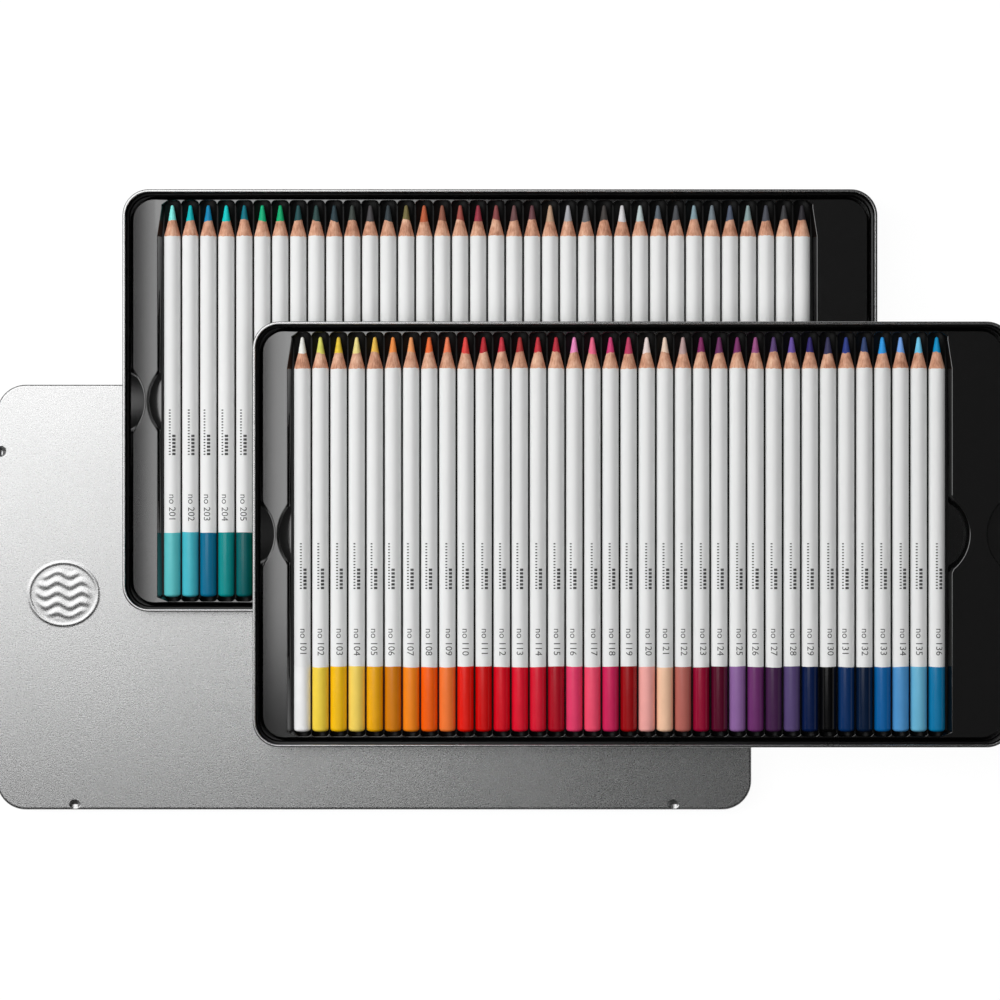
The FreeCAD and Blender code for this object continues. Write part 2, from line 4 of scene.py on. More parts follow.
import bmesh
import bpy
import numpy as np
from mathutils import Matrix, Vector


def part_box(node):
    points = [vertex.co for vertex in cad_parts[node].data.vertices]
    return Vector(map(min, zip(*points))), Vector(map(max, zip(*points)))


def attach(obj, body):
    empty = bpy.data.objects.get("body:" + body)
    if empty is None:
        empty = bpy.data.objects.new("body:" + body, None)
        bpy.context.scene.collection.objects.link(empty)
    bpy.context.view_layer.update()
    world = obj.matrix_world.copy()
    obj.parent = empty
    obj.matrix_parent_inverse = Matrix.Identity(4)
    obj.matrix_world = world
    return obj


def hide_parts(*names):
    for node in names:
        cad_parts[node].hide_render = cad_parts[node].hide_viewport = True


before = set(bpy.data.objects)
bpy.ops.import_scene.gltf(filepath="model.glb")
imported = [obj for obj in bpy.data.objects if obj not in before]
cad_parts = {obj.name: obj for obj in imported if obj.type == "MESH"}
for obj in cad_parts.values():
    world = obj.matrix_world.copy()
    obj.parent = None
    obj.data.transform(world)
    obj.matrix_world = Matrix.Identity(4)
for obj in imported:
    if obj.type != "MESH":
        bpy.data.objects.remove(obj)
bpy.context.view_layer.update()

# Lid: one sheet of tinplate, blasted to a satin grain and pressed to a flat panel with a tight rounded edge.
# The skirt's lower edge is folded in to a hem, four stop dimples are punched into the edge from outside,
# and an oval bead with ripples is embossed near the left end of the panel.

MM = 0.001
LID_CORNER = 13.0
LID_EDGE_ROUND = 1.0
EDGE_TILT = 43.0
EDGE_CORNER = 0.06
TIN_SHEET = 0.4
HEM_THICKNESS = 0.9
HEM_HEIGHT = 1.6
HEM_TIP = (0.15, 0.2)
SKIRT_RINGS = (1.2, 0.6, 0.3)
DIMPLE_RADIUS = 2.2
DIMPLE_DEPTH = 0.8
DIMPLE_LOW = 0.54
DIMPLE_FROM_END = 35.0
DIMPLE_FROM_BACK = 30.0
DIMPLE_SPACING = 0.3
DIMPLE_REACH = 3.3
DIMPLE_FIELD = 5.0
PLACE_DIGITS = 4
TINY = 1e-9
WELD = 1e-7
SOFT_EDGE = 35.0


def middle_of(node):
    """The middle of a CAD node's box in plan, and the heights of its foot and top, in millimetres."""
    low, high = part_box(node)
    across, along = (low + high)[0] / 2 / MM, (low + high)[1] / 2 / MM
    return np.array([across, along]), low[2] / MM, high[2] / MM


def size_of(node):
    low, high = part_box(node)
    return (high - low)[0] / MM, (high - low)[1] / MM


def outline(width, depth, corner, marks=(), step=6.0, corner_steps=14):
    """A rounded rectangle as core points and outward directions, anticlockwise from the right side's foot.

    A point of it, or of a parallel outline, is core + radius * direction. marks are (side, place, reach,
    spacing): stretches of a side, counted anticlockwise from the right, that get closer points."""
    half_width, half_depth = width / 2 - corner, depth / 2 - corner
    cores, directions = [], []
    for side in range(4):
        turn = side * math.pi / 2
        normal = np.array([math.cos(turn), math.sin(turn)])
        along = np.array([-normal[1], normal[0]])
        half = (half_depth, half_width)[side % 2]
        away = (half_width, half_depth)[side % 2]
        even = np.linspace(-half, half, int(2 * half / step) + 1)
        places = set(np.round(even, PLACE_DIGITS))
        for marked, place, reach, spacing in marks:
            if marked == side:
                places = {p for p in places if abs(p - place) > reach}
                closer = np.arange(place - reach, place + reach + spacing / 2, spacing)
                places |= set(np.round(closer, PLACE_DIGITS))
        for place in sorted(places):
            cores.append(away * normal + place * along)
            directions.append(normal)
        for index in range(1, corner_steps):
            angle = turn + index / corner_steps * math.pi / 2
            cores.append(away * normal + half * along)
            directions.append(np.array([math.cos(angle), math.sin(angle)]))
    return np.array(cores), np.array(directions)


def ring(cores, directions, radius, height):
    return np.column_stack([cores + radius * directions, np.full(len(cores), height)])


def arc(middle, radius, start, end, steps):
    """Points on a circle in the plane of a section, from one angle to another, in degrees."""
    angles = np.radians(np.linspace(start, end, steps + 1))
    return [(middle[0] + radius * math.cos(a), middle[1] + radius * math.sin(a)) for a in angles]


def drawn_edge(width, top, steps=6):
    """A sheet's drawn edge in section: a flat arc over its width, then a tight corner at its outer side."""
    radius = width / math.sin(math.radians(EDGE_TILT))
    curve = arc((-width, top - radius), radius, 90, 90 - EDGE_TILT, steps)
    return curve + [(0.0, curve[-1][1] - EDGE_CORNER)]


def bridge(count, first, second):
    """Quads between two closed rings of count vertices that start at these vertex numbers."""
    after = [(index + 1) % count for index in range(count)]
    return [(first + i, first + after[i], second + after[i], second + i) for i in range(count)]


def stack_rings(rings):
    """The points of closed rings that have the same count, and the quads between each and the next."""
    count = len(rings[0])
    faces = []
    for index in range(len(rings) - 1):
        faces += bridge(count, index * count, (index + 1) * count)
    return np.vstack(rings), faces


def make_piece(name, points, faces, materials, face_slots=None, sharp=SOFT_EDGE):
    """A closed mesh object from millimetre points, smooth except at edges sharper than this angle."""
    mesh = bpy.data.meshes.new(name)
    mesh.from_pydata((np.asarray(points) * MM).tolist(), [], faces)
    for material in materials:
        mesh.materials.append(material)
    if face_slots is not None:
        mesh.polygons.foreach_set("material_index", face_slots)
    body = bmesh.new()
    body.from_mesh(mesh)
    bmesh.ops.remove_doubles(body, verts=body.verts, dist=WELD)
    bmesh.ops.recalc_face_normals(body, faces=body.faces)
    body.to_mesh(mesh)
    body.free()
    mesh.shade_smooth()
    mesh.set_sharp_from_angle(angle=math.radians(sharp))
    piece = bpy.data.objects.new(name, mesh)
    bpy.context.scene.collection.objects.link(piece)
    return piece


def add_node(tree, kind, inputs=None, **settings):
    """A shader node: inputs are numbers, colours or the sockets to link, by name or place."""
    node = tree.nodes.new(kind)
    for key, value in settings.items():
        setattr(node, key, value)
    for key, value in (inputs or {}).items():
        if isinstance(value, bpy.types.NodeSocket):
            tree.links.new(value, node.inputs[key])
        else:
            node.inputs[key].default_value = value
    return node


def add_ramp(tree, factor, stops):
    """A colour ramp on factor. stops are (place, grey level or colour)."""
    ramp = add_node(tree, "ShaderNodeValToRGB", {"Fac": factor})
    points = ramp.color_ramp.elements
    while len(points) < len(stops):
        points.new(0.5)
    for point, (place, value) in zip(points, stops):
        point.position = place
        point.color = (*value, 1.0) if hasattr(value, "__len__") else (value, value, value, 1.0)
    return ramp.outputs["Color"]


def new_material(name, **fixed):
    """A material with one Principled shader. fixed sets its constant sockets, as coat_weight=0.3."""
    material = bpy.data.materials.new(name)
    material.use_nodes = True
    shader = material.node_tree.nodes["Principled BSDF"]
    for key, value in fixed.items():
        socket = {"ior": "IOR", "coat_ior": "Coat IOR"}.get(key, key.replace("_", " ").title())
        shader.inputs[socket].default_value = value
    return material, material.node_tree, shader


def link_shader(tree, shader, **sockets):
    for key, socket in sockets.items():
        tree.links.new(socket, shader.inputs[key.replace("_", " ").title()])


def linear(colour, alpha=1.0):
    """A linear RGBA colour from display values of 0 to 255."""
    parts = [c / 255 for c in colour]
    return tuple(p / 12.92 if p <= 0.04045 else ((p + 0.055) / 1.055) ** 2.4 for p in parts) + (alpha,)


def make_group(name, inputs, outputs):
    """A shader node group with plain float inputs and outputs, and its input and output nodes."""
    group = bpy.data.node_groups.new(name, "ShaderNodeTree")
    for label, value in inputs:
        socket = group.interface.new_socket(label, in_out="INPUT", socket_type="NodeSocketFloat")
        socket.default_value = value
    for label in outputs:
        group.interface.new_socket(label, in_out="OUTPUT", socket_type="NodeSocketFloat")
    return group, group.nodes.new("NodeGroupInput"), group.nodes.new("NodeGroupOutput")


def make_grain_group():
    """Fine grain and broad smudges, each from 0 to 1, by the piece's own coordinates."""
    group, given, result = make_group(
        "surface_grain", [("Grain Size", 0.0004), ("Smudge Size", 0.05)], ["Grain", "Smudge"]
    )
    place = add_node(group, "ShaderNodeTexCoord").outputs["Object"]
    for output, detail, roughness in (("Grain", 2.0, 0.6), ("Smudge", 4.0, 0.55)):
        size = given.outputs[output + " Size"]
        scale = add_node(group, "ShaderNodeMath", {0: 1.0, 1: size}, operation="DIVIDE").outputs[0]
        look = {"Vector": place, "Scale": scale, "Detail": detail, "Roughness": roughness}
        noise = add_node(group, "ShaderNodeTexNoise", look)
        group.links.new(noise.outputs["Fac"], result.inputs[output])
    return group


surface_grain = make_grain_group()
NOISE_LOW, NOISE_HIGH = 0.3, 0.7


def add_grain(tree, grain_size, smudge_size):
    sizes = {"Grain Size": grain_size, "Smudge Size": smudge_size}
    return add_node(tree, "ShaderNodeGroup", sizes, node_tree=surface_grain).outputs


def add_bump(tree, height, distance, strength=1.0):
    bump = add_node(tree, "ShaderNodeBump", {"Height": height, "Distance": distance, "Strength": strength})
    return bump.outputs["Normal"]


def mix_values(tree, level, noise, amount):
    """level + amount * (noise - 0.5), for small variations about a level."""
    centred = add_node(tree, "ShaderNodeMath", {0: noise, 1: 0.5}, operation="SUBTRACT").outputs[0]
    sums = {0: centred, 1: amount, 2: level}
    return add_node(tree, "ShaderNodeMath", sums, operation="MULTIPLY_ADD").outputs[0]


GRAIN, SMUDGE = 0, 1


def make_surface(name, sizes, tone, rough, bump=None, tinted=False, **fixed):
    """A material whose colour, gloss and height vary with GRAIN or SMUDGE, in these sizes.

    tone is a noise and its colour stops, rough a noise, a level and an amount, bump a noise and a height.
    Where tinted, the tone shades the piece's stored pigment. fixed sets constant sockets."""
    material, tree, shader = new_material(name, **fixed)
    noises = add_grain(tree, *sizes)
    noise, stops = tone
    colour = add_ramp(tree, noises[noise], stops)
    if tinted:
        colour = shade_pigment(tree, colour)
    noise, level, amount = rough
    link_shader(tree, shader, base_color=colour, roughness=mix_values(tree, level, noises[noise], amount))
    if bump:
        noise, height = bump
        link_shader(tree, shader, normal=add_bump(tree, noises[noise], height))
    return material


def shade_pigment(tree, level):
    """The piece's stored pigment, made a little darker by level."""
    stored = {"attribute_name": "pigment", "attribute_type": "GEOMETRY"}
    colour = add_node(tree, "ShaderNodeAttribute", **stored).outputs["Color"]
    mix = add_node(tree, "ShaderNodeMix", {"Factor": 1.0}, data_type="RGBA", blend_type="MULTIPLY")
    colours = [socket for socket in mix.inputs if socket.type == "RGBA"]
    tree.links.new(colour, colours[0])
    tree.links.new(level, colours[1])
    return [socket for socket in mix.outputs if socket.type == "RGBA"][0]


def make_satin_tin(name, roughness, level, speckles, gloss_grain, grain_depth):
    """Blasted tinplate: speckled reflectivity and gloss, and broad, faint smudges."""
    material, tree, shader = new_material(name, metallic=1.0)
    grain, smudge = add_grain(tree, grain_size=0.0006, smudge_size=0.07)
    dark, light = level * (1 - speckles), level * (1 + speckles)
    speckle = add_ramp(tree, grain, [(NOISE_LOW, dark), (NOISE_HIGH, light)])
    smudged = mix_values(tree, roughness, smudge, amount=0.04)
    rough = mix_values(tree, smudged, grain, amount=gloss_grain)
    normal = add_bump(tree, grain, grain_depth)
    link_shader(tree, shader, base_color=speckle, roughness=rough, normal=normal)
    return material


lid_tin = make_satin_tin(
    "lid_tin", roughness=0.28, level=0.76, speckles=0.16, gloss_grain=0.1, grain_depth=0.00003
)

lid_middle, lid_foot, lid_top = middle_of("lid")
lid_width, lid_depth = size_of("lid")
RIGHT, REAR, LEFT, FRONT = range(4)
stop_places = [
    (RIGHT, lid_depth / 2 - DIMPLE_FROM_BACK),
    (LEFT, DIMPLE_FROM_BACK - lid_depth / 2),
    (FRONT, DIMPLE_FROM_END - lid_width / 2),
    (FRONT, lid_width / 2 - DIMPLE_FROM_END),
]
stop_marks = [(side, place, DIMPLE_REACH, DIMPLE_SPACING) for side, place in stop_places]
lid_cores, lid_directions = outline(lid_width, lid_depth, LID_CORNER, stop_marks)


def punch(points, sheet=0.0):
    """Pushes points down into the stop dimples, scoops inside the edge that end in a steep round wall."""
    radius = DIMPLE_RADIUS + sheet
    for side, place in stop_places:
        normal = np.array([math.cos(side * math.pi / 2), math.sin(side * math.pi / 2)])
        along = np.array([-normal[1], normal[0]])
        away = (lid_width, lid_depth)[side % 2] / 2 - DIMPLE_RADIUS
        local = points[:, :2] - away * normal - place * along
        across, inward = local @ along, -(local @ normal)
        chord = np.sqrt(np.maximum(radius ** 2 - across ** 2, TINY))
        share = (inward + chord) / (2 * chord)
        inside = (share > 0) & (share < 1)
        slope = np.minimum(share / DIMPLE_LOW, (1 - share) / (1 - DIMPLE_LOW))
        floor = lid_top - sheet - DIMPLE_DEPTH * chord / radius * slope
        points[inside, 2] = np.minimum(points[inside, 2], floor[inside])
    return points


def lid_sections():
    """The lid's section from the panel's outside, over the edge, round the hem and back to its inside."""
    near = list(np.arange(DIMPLE_FIELD, LID_EDGE_ROUND, -DIMPLE_SPACING))
    outer = [(-inset, lid_top) for inset in near]
    outer += drawn_edge(LID_EDGE_ROUND, lid_top)
    half_hem = HEM_THICKNESS / 2
    fold = arc((-half_hem, half_hem + lid_foot), half_hem, 0, -180, steps=8)
    fold += [(-HEM_THICKNESS, HEM_HEIGHT - HEM_TIP[1]), (HEM_TIP[0] - HEM_THICKNESS, HEM_HEIGHT)]
    fold += [(-TIN_SHEET, HEM_HEIGHT)]
    inner_round = LID_EDGE_ROUND - TIN_SHEET
    ceiling = lid_top - TIN_SHEET
    inner = [(-TIN_SHEET, ceiling - inner_round - drop) for drop in SKIRT_RINGS]
    inner += arc((-LID_EDGE_ROUND, ceiling - inner_round), inner_round, 0, 90, steps=6)
    inner += [(-inset, ceiling) for inset in reversed(near)]
    return outer, fold, inner


EMBLEM_MIDDLE = (-139.0, 1.5)
EMBLEM_HALF_WIDTH = 16.5
EMBLEM_HALF_HEIGHT = 15.0
EMBLEM_MARGIN = 1.0
EMBLEM_STEP = 0.4
EMBLEM_RISE = 0.16
BEAD_PLACE = 0.93
FIELD_EDGE = 0.80
FIELD_FADE = 0.14
RIPPLE_SPACING = 4.6
RIPPLE_SWAY = 1.1
RIPPLE_LENGTH = 11.0


def emblem_height(x, y):
    """Height of the embossed oval: a thick and a thin bead round a field of ripples."""
    along, across = x - EMBLEM_MIDDLE[0], y - EMBLEM_MIDDLE[1]
    reach = np.hypot(along / EMBLEM_HALF_WIDTH, across / EMBLEM_HALF_HEIGHT)
    bead = np.clip(np.abs(reach - BEAD_PLACE) * EMBLEM_HALF_HEIGHT, 0, 1)
    wave = across + RIPPLE_SWAY * np.sin(2 * math.pi * along / RIPPLE_LENGTH)
    ripple = 0.5 + 0.5 * np.cos(2 * math.pi * wave / RIPPLE_SPACING)
    field = np.clip((FIELD_EDGE - reach) / FIELD_FADE, 0, 1)
    return EMBLEM_RISE * (0.5 + 0.5 * np.cos(math.pi * bead) + ripple * field)


def make_lid():
    outer, fold, inner = lid_sections()
    rings = [punch(ring(lid_cores, lid_directions, LID_CORNER + x, z)) for x, z in outer]
    rings += [ring(lid_cores, lid_directions, LID_CORNER + x, z) for x, z in fold]
    rings += [punch(ring(lid_cores, lid_directions, LID_CORNER + x, z), TIN_SHEET) for x, z in inner]
    count = len(lid_cores)
    points, faces = stack_rings(rings)
    start = len(points)
    faces.append(tuple(range(start - count, start)))

    span_x, span_y = EMBLEM_HALF_WIDTH + EMBLEM_MARGIN, EMBLEM_HALF_HEIGHT + EMBLEM_MARGIN
    columns = np.arange(EMBLEM_MIDDLE[0] - span_x, EMBLEM_MIDDLE[0] + span_x, EMBLEM_STEP)
    rows = np.arange(EMBLEM_MIDDLE[1] - span_y, EMBLEM_MIDDLE[1] + span_y, EMBLEM_STEP)
    x, y = np.meshgrid(columns, rows)
    field = np.column_stack([x.ravel(), y.ravel(), lid_top + emblem_height(x, y).ravel()])
    points = np.vstack([points, field])
    wide, tall = len(columns), len(rows)
    faces += grid_cells(start, wide, tall)
    faces += fill_between(points, list(range(count)), grid_edge(start, wide, tall))
    points[:, :2] += lid_middle
    return make_piece("lid_shell", points, faces, [lid_tin])


def grid_cells(start, wide, tall):
    """Quads of a grid of points that are numbered row by row from start."""
    corners = [start + row * wide + column for row in range(tall - 1) for column in range(wide - 1)]
    return [(c, c + 1, c + wide + 1, c + wide) for c in corners]


def grid_edge(start, wide, tall):
    """The vertex numbers round such a grid, in order."""
    last = tall - 1
    edge = [start + column for column in range(wide)]
    edge += [start + row * wide + wide - 1 for row in range(1, tall)]
    edge += [start + last * wide + column for column in range(wide - 2, -1, -1)]
    return edge + [start + row * wide for row in range(last - 1, 0, -1)]


def filled_loops(loops):
    """A triangle mesh of the flat region between closed loops of points, and its vertices loop by loop."""
    body = bmesh.new()
    rims = [[body.verts.new(point) for point in loop] for loop in loops]
    for rim in rims:
        for index, vert in enumerate(rim):
            body.edges.new((vert, rim[(index + 1) % len(rim)]))
    body.verts.index_update()
    bmesh.ops.triangle_fill(body, use_beauty=True, use_dissolve=False, edges=body.edges[:], normal=(0, 0, 1))
    return body, rims


def fill_between(points, outside, inside):
    """Triangles of the flat region between an outer and an inner closed loop of vertex numbers."""
    numbers = list(outside) + list(inside)
    body, _ = filled_loops([points[list(loop)].tolist() for loop in (outside, inside)])
    triangles = [tuple(numbers[vert.index] for vert in face.verts) for face in body.faces]
    body.free()
    return triangles


lid = make_lid()
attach(lid, "lid")
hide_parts("lid")

# Trays: each is drawn from tinplate, black lacquered inside and bright outside, with a base that steps in
# so that it nests in the rim below. The upper edge is rolled outwards to a thin round bead, which is bright.

TRAY_CORNER = 11.8
RIM_RADIUS = 0.6
WALL_INSET = 0.4
BASE_INSET = 1.6
RIM_FLAT = 0.4
RIM_INNER_ROUND = 0.2
BASE_ROUND = 0.6
STEP_HEIGHT = 2.0
STEP_ROUND = 0.3
STEP_CUT = 0.3
BRIGHT, BLACK = 0, 1

tray_tin = make_satin_tin(
    "tray_tin", roughness=0.24, level=0.68, speckles=0.06, gloss_grain=0.02, grain_depth=0.000001
)

# The lacquer is stoved: deep black, with a slightly uneven gloss and a little dust.
tray_lacquer = make_surface(
    "tray_lacquer",
    sizes=(0.0006, 0.03),
    tone=(GRAIN, [(0.62, 0.004), (0.80, 0.008)]),
    rough=(SMUDGE, 0.28, 0.12),
    bump=(SMUDGE, 0.00004),
    ior=1.5,
)


def tray_section(foot, top):
    """(inset, height, lacquered) points of a tray's section, from under the base to the floor inside."""
    bead = top - RIM_RADIUS
    ledge = foot + STEP_HEIGHT
    outside = arc((BASE_INSET + BASE_ROUND, foot + BASE_ROUND), BASE_ROUND, 270, 180, steps=5)
    cut = STEP_ROUND * STEP_CUT
    outside += [(BASE_INSET, ledge - STEP_ROUND), (BASE_INSET - cut, ledge - cut)]
    outside += [(BASE_INSET - STEP_ROUND, ledge)]
    outside += arc((WALL_INSET + STEP_ROUND, ledge + STEP_ROUND), STEP_ROUND, 270, 180, steps=3)
    under = arc((RIM_RADIUS, bead), RIM_RADIUS, 230, 190, steps=5)
    over = [(-across, height) for across, height in reversed(drawn_edge(RIM_RADIUS, top))]
    over += arc((RIM_RADIUS + RIM_FLAT, top - RIM_INNER_ROUND), RIM_INNER_ROUND, 90, 0, steps=4)
    wall_inside = WALL_INSET + TIN_SHEET
    base_inside = BASE_INSET + TIN_SHEET
    shelf = ledge + TIN_SHEET
    inside = arc((RIM_RADIUS, bead), RIM_RADIUS, -10, -50, steps=5) + [(wall_inside, bead - RIM_RADIUS)]
    inside += [(wall_inside, shelf + STEP_ROUND), (wall_inside + cut, shelf + cut)]
    inside += [(wall_inside + STEP_ROUND, shelf)]
    inside += arc((base_inside - STEP_ROUND, shelf - STEP_ROUND), STEP_ROUND, 90, 0, steps=3)
    floor = foot + TIN_SHEET
    inside += arc((base_inside + BASE_ROUND, floor + BASE_ROUND), BASE_ROUND, 180, 270, steps=4)
    bright = [(inset, height, BRIGHT) for inset, height in outside + under + over[:-1]]
    return bright + [(inset, height, BLACK) for inset, height in over[-1:] + inside]


def make_tray(name, node):
    middle, foot, top = middle_of(node)
    width, depth = size_of(node)
    cores, directions = outline(width, depth, TRAY_CORNER, corner_steps=18)
    section = tray_section(foot, top)
    rings = [ring(cores, directions, TRAY_CORNER - inset, height) for inset, height, _ in section]
    count = len(cores)
    points, bands = stack_rings(rings)
    faces = [tuple(range(count)), *bands, tuple(range(len(points) - count, len(points)))]
    band_slots = [slot for _, _, slot in section[:-1] for _ in range(count)]
    slots = [BRIGHT, *band_slots, BLACK]
    points[:, :2] += middle
    tray = make_piece(name, points, faces, [tray_tin, tray_lacquer], slots)
    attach(tray, node)
    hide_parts(node)


make_tray("back_tin", "back_tray")
make_tray("front_tin", "front_tray")

# Inserts: each is one sheet of black plastic, vacuum formed over a tool, with 36 grooves for the pencils,
# pointed teeth between the slots' ends, wide lands at both sides and finger notches in the lands' edges.
# The left lands slope towards the pencils, and the matt grooves run out towards the pencils' tips.

PENCILS = 36
PITCH = 8.03
BARREL = 3.675
INSERT_CORNER = 9.4
WALL_RUN = 1.7
LAND_HEIGHT = 5.85
RIDGE_HEIGHT = 3.05
AXIS_HEIGHT = 4.25
GROOVE_RADIUS = 3.9
LEFT_LAND = 11.1
RIGHT_LAND = 22.5
SIDE_GAP = 2.8
CONE_NARROWING = 1.9
END_LIP = 0.45
SLOT_FLAT = 3.9
TIP_TOOTH = 2.0
END_TOOTH = 1.4
SLOT_CORNER = 2.0
SIDE_RUN = 1.8
END_RUN = 0.25
EDGE_ROUND = 0.3
LIP_ROUND = 0.14
LIP_REACH = 1.0
SHOULDER = 0.5
SHOULDER_POINTS = 6
MITRE_LIMIT = 0.8
NOTCH_RADIUS = 20.0
INNER_LEFT_NOTCH = 4.7
INNER_RIGHT_NOTCH = 8.0
OUTER_LEFT_NOTCH = 5.6
OUTER_RIGHT_NOTCH = 6.8
NOTCH_FLOOR = 2.05
NOTCH_FLARE = (0.9, 1.8)
NOTCH_LEFT_RUN = 3.0
NOTCH_STEEP_RUN = 0.7
NOTCH_BANK = 0.55
WALL_BREAK = 0.6
NOTCH_RIGHT_RUN = 2.2
NOTCH_OUTER_RUN = 0.7
NOTCH_TILT = 0.5
SHEET = 0.5
SAG_FADE = 6.0
TIP_RAMP = 15.0
TIP_DEPTH = 0.12
CONE_LENGTH = 16.0
CONE_END = 3.5
GROOVE_POINTS = 13
BED_STEP = 0.1
BED_OVERLAP = 0.3
BED_SIDE = 0.4
BED_FOOT = 0.6
CUT_SNAP = 1e-5
CUT_MARGIN = 1.0
CUT_REACH = 84.0
CUT_ALONG = 3.5
CUT_LEFT = (5.0, 1.2)
CUT_RIGHT = (8.0, 1.4)
LAND_ROUNDING = (40, 65, 90)
INSERT_CREASE = 13.5

BLACK_PLASTIC = (GRAIN, [(NOISE_LOW, 0.002), (NOISE_HIGH, 0.004)])

# The sheet is near black and satin, with the tool's fine texture and rubbed patches.
formed_plastic = make_surface(
    "insert_plastic",
    sizes=(0.0005, 0.02),
    tone=BLACK_PLASTIC,
    rough=(SMUDGE, 0.135, 0.02),
    bump=(GRAIN, 0.000003),
    ior=1.9,
    coat_weight=1.0,
    coat_roughness=0.13,
    coat_ior=1.8,
)

# In the grooves it was drawn over the tool's matt grain and was never rubbed.
groove_plastic = make_surface(
    "groove_plastic",
    sizes=(0.0004, 0.01),
    tone=BLACK_PLASTIC,
    rough=(SMUDGE, 0.42, 0.1),
    bump=(GRAIN, 0.00001),
    ior=1.42,
)
insert_materials = [formed_plastic, groove_plastic]
LAND, GROOVE = 0, 1


def notch_curve(edge, depth, towards, steps=18):
    """Points of a finger notch at a land's edge, from its low end to its high end along Y.

    towards is +1 where the notch is cut towards +X. Short straight flares lead into a round arc."""
    radius, (flare_depth, flare_length) = NOTCH_RADIUS, NOTCH_FLARE
    middle = edge + towards * (depth - radius)
    half = math.acos((radius - depth + flare_depth) / radius)
    angles = np.linspace(-half, half, steps + 1)
    round_part = [(middle + towards * radius * math.cos(a), radius * math.sin(a)) for a in angles]
    low, high = round_part[0][1] - flare_length, round_part[-1][1] + flare_length
    return [(edge, low)] + round_part + [(edge, high)]


def offset_loop(loop, distances):
    """A closed loop moved sideways, to its left where a distance is above zero, with mitred corners."""
    before, after = np.roll(loop, 1, 0), np.roll(loop, -1, 0)
    first, second = loop - before, after - loop
    normals = []
    for step in (first, second):
        length = np.maximum(np.linalg.norm(step, axis=1), TINY)
        normals.append(np.column_stack([-step[:, 1], step[:, 0]]) / length[:, None])
    total = normals[0] + normals[1]
    size = np.maximum((total ** 2).sum(1), MITRE_LIMIT)
    return loop + total * (2 / size * np.asarray(distances))[:, None]


def slot_end(axis, end, tooth, is_first, is_last):
    """A slot's end from its left tooth to its right one: a flat whose rounded shoulders run to the teeth."""
    half, apex = SLOT_FLAT / 2, PITCH / 2
    shares = np.linspace(0, 1, SHOULDER_POINTS)
    across = (1 - shares) ** 2 * half + 2 * shares * (1 - shares) * (apex - SHOULDER) + shares ** 2 * apex
    shoulder = list(zip(across, tooth * shares ** 2))
    left = [(axis - a, end + b) for a, b in reversed(shoulder)]
    right = [(axis + a, end + b) for a, b in shoulder]
    return (left[-1:] if is_first else left) + (right[:1] if is_last else right[:-1])


def side_edge(bank, outward, notch_depth, notch_run, front, rear):
    """A side wall's edge from front to rear: it opens into a finger notch and comes in beside the cones."""
    points = [(bank, front + SLOT_CORNER, SIDE_RUN, RIDGE_HEIGHT)]
    points += [(x, y, notch_run, NOTCH_FLOOR) for x, y in notch_curve(bank, notch_depth, outward)]
    points.append((bank, rear - CONE_LENGTH, SIDE_RUN, RIDGE_HEIGHT))
    narrow = bank - outward * CONE_NARROWING
    return points + [(narrow, rear - back, SIDE_RUN / 2, RIDGE_HEIGHT) for back in (CONE_END, SLOT_CORNER)]


def row_loop(first, front, rear, left_bank, right_bank):
    """The opening round the row of pencils, anticlockwise, as (x, y, lean, floor height) points.

    Each slot's end has a flat and slanted sides that meet the next slot's in a tooth."""
    front_edge, rear_edge = [], []
    for index in range(PENCILS):
        axis, is_first, is_last = first + PITCH * index, index == 0, index == PENCILS - 1
        front_edge += slot_end(axis, front, END_TOOTH, is_first, is_last)
        rear_edge += slot_end(axis, rear, -TIP_TOOTH, is_first, is_last)
    near, far = [[(x, y, END_RUN, RIDGE_HEIGHT) for x, y in edge] for edge in (front_edge, rear_edge)]
    left = side_edge(left_bank, -1, INNER_LEFT_NOTCH, NOTCH_LEFT_RUN, front, rear)
    right = side_edge(right_bank, 1, INNER_RIGHT_NOTCH, NOTCH_RIGHT_RUN, front, rear)
    return np.array(left[:1] + near + right + far[::-1] + left[:0:-1])


def land_loop(width, depth):
    """The insert's outer edge at its lands, anticlockwise, with the outer finger notches cut in.

    Returns its points, whether each is in a notch, and the points' places at the foot."""
    cores, directions = outline(width, depth, INSERT_CORNER, corner_steps=10, step=40.0)
    land = cores + INSERT_CORNER * directions
    foot = cores + (INSERT_CORNER + WALL_RUN) * directions
    points, inside, feet = [], [], []
    curves = {RIGHT: notch_curve(width / 2, OUTER_RIGHT_NOTCH, -1)}
    curves[LEFT] = notch_curve(-width / 2, OUTER_LEFT_NOTCH, 1)[::-1]
    waiting = {RIGHT, LEFT}
    for index in range(len(land)):
        side = RIGHT if land[index][0] > 0 else LEFT
        straight = abs(directions[index][0]) > 1 - WELD
        ahead = straight and (land[index][1] > 0) == (side == RIGHT)
        if side in waiting and ahead:
            waiting.remove(side)
            for x, y in curves[side]:
                points.append((x, y))
                inside.append(True)
                feet.append((foot[index][0], y))
        if not straight or abs(land[index][1]) > NOTCH_RADIUS:
            points.append(tuple(land[index]))
            inside.append(False)
            feet.append(tuple(foot[index]))
    return np.array(points), np.array(inside), np.array(feet)


def sag_at(places, edge, sag, reach):
    """How far the sheet hangs at these places: the left land falls from its outer edge to the pencils."""
    across = places[:, 0] - edge
    share = np.clip(across / reach, 0, 1)
    return sag * share * (2 - share) * np.clip(1 - (across - LEFT_LAND) / SAG_FADE, 0, 1)


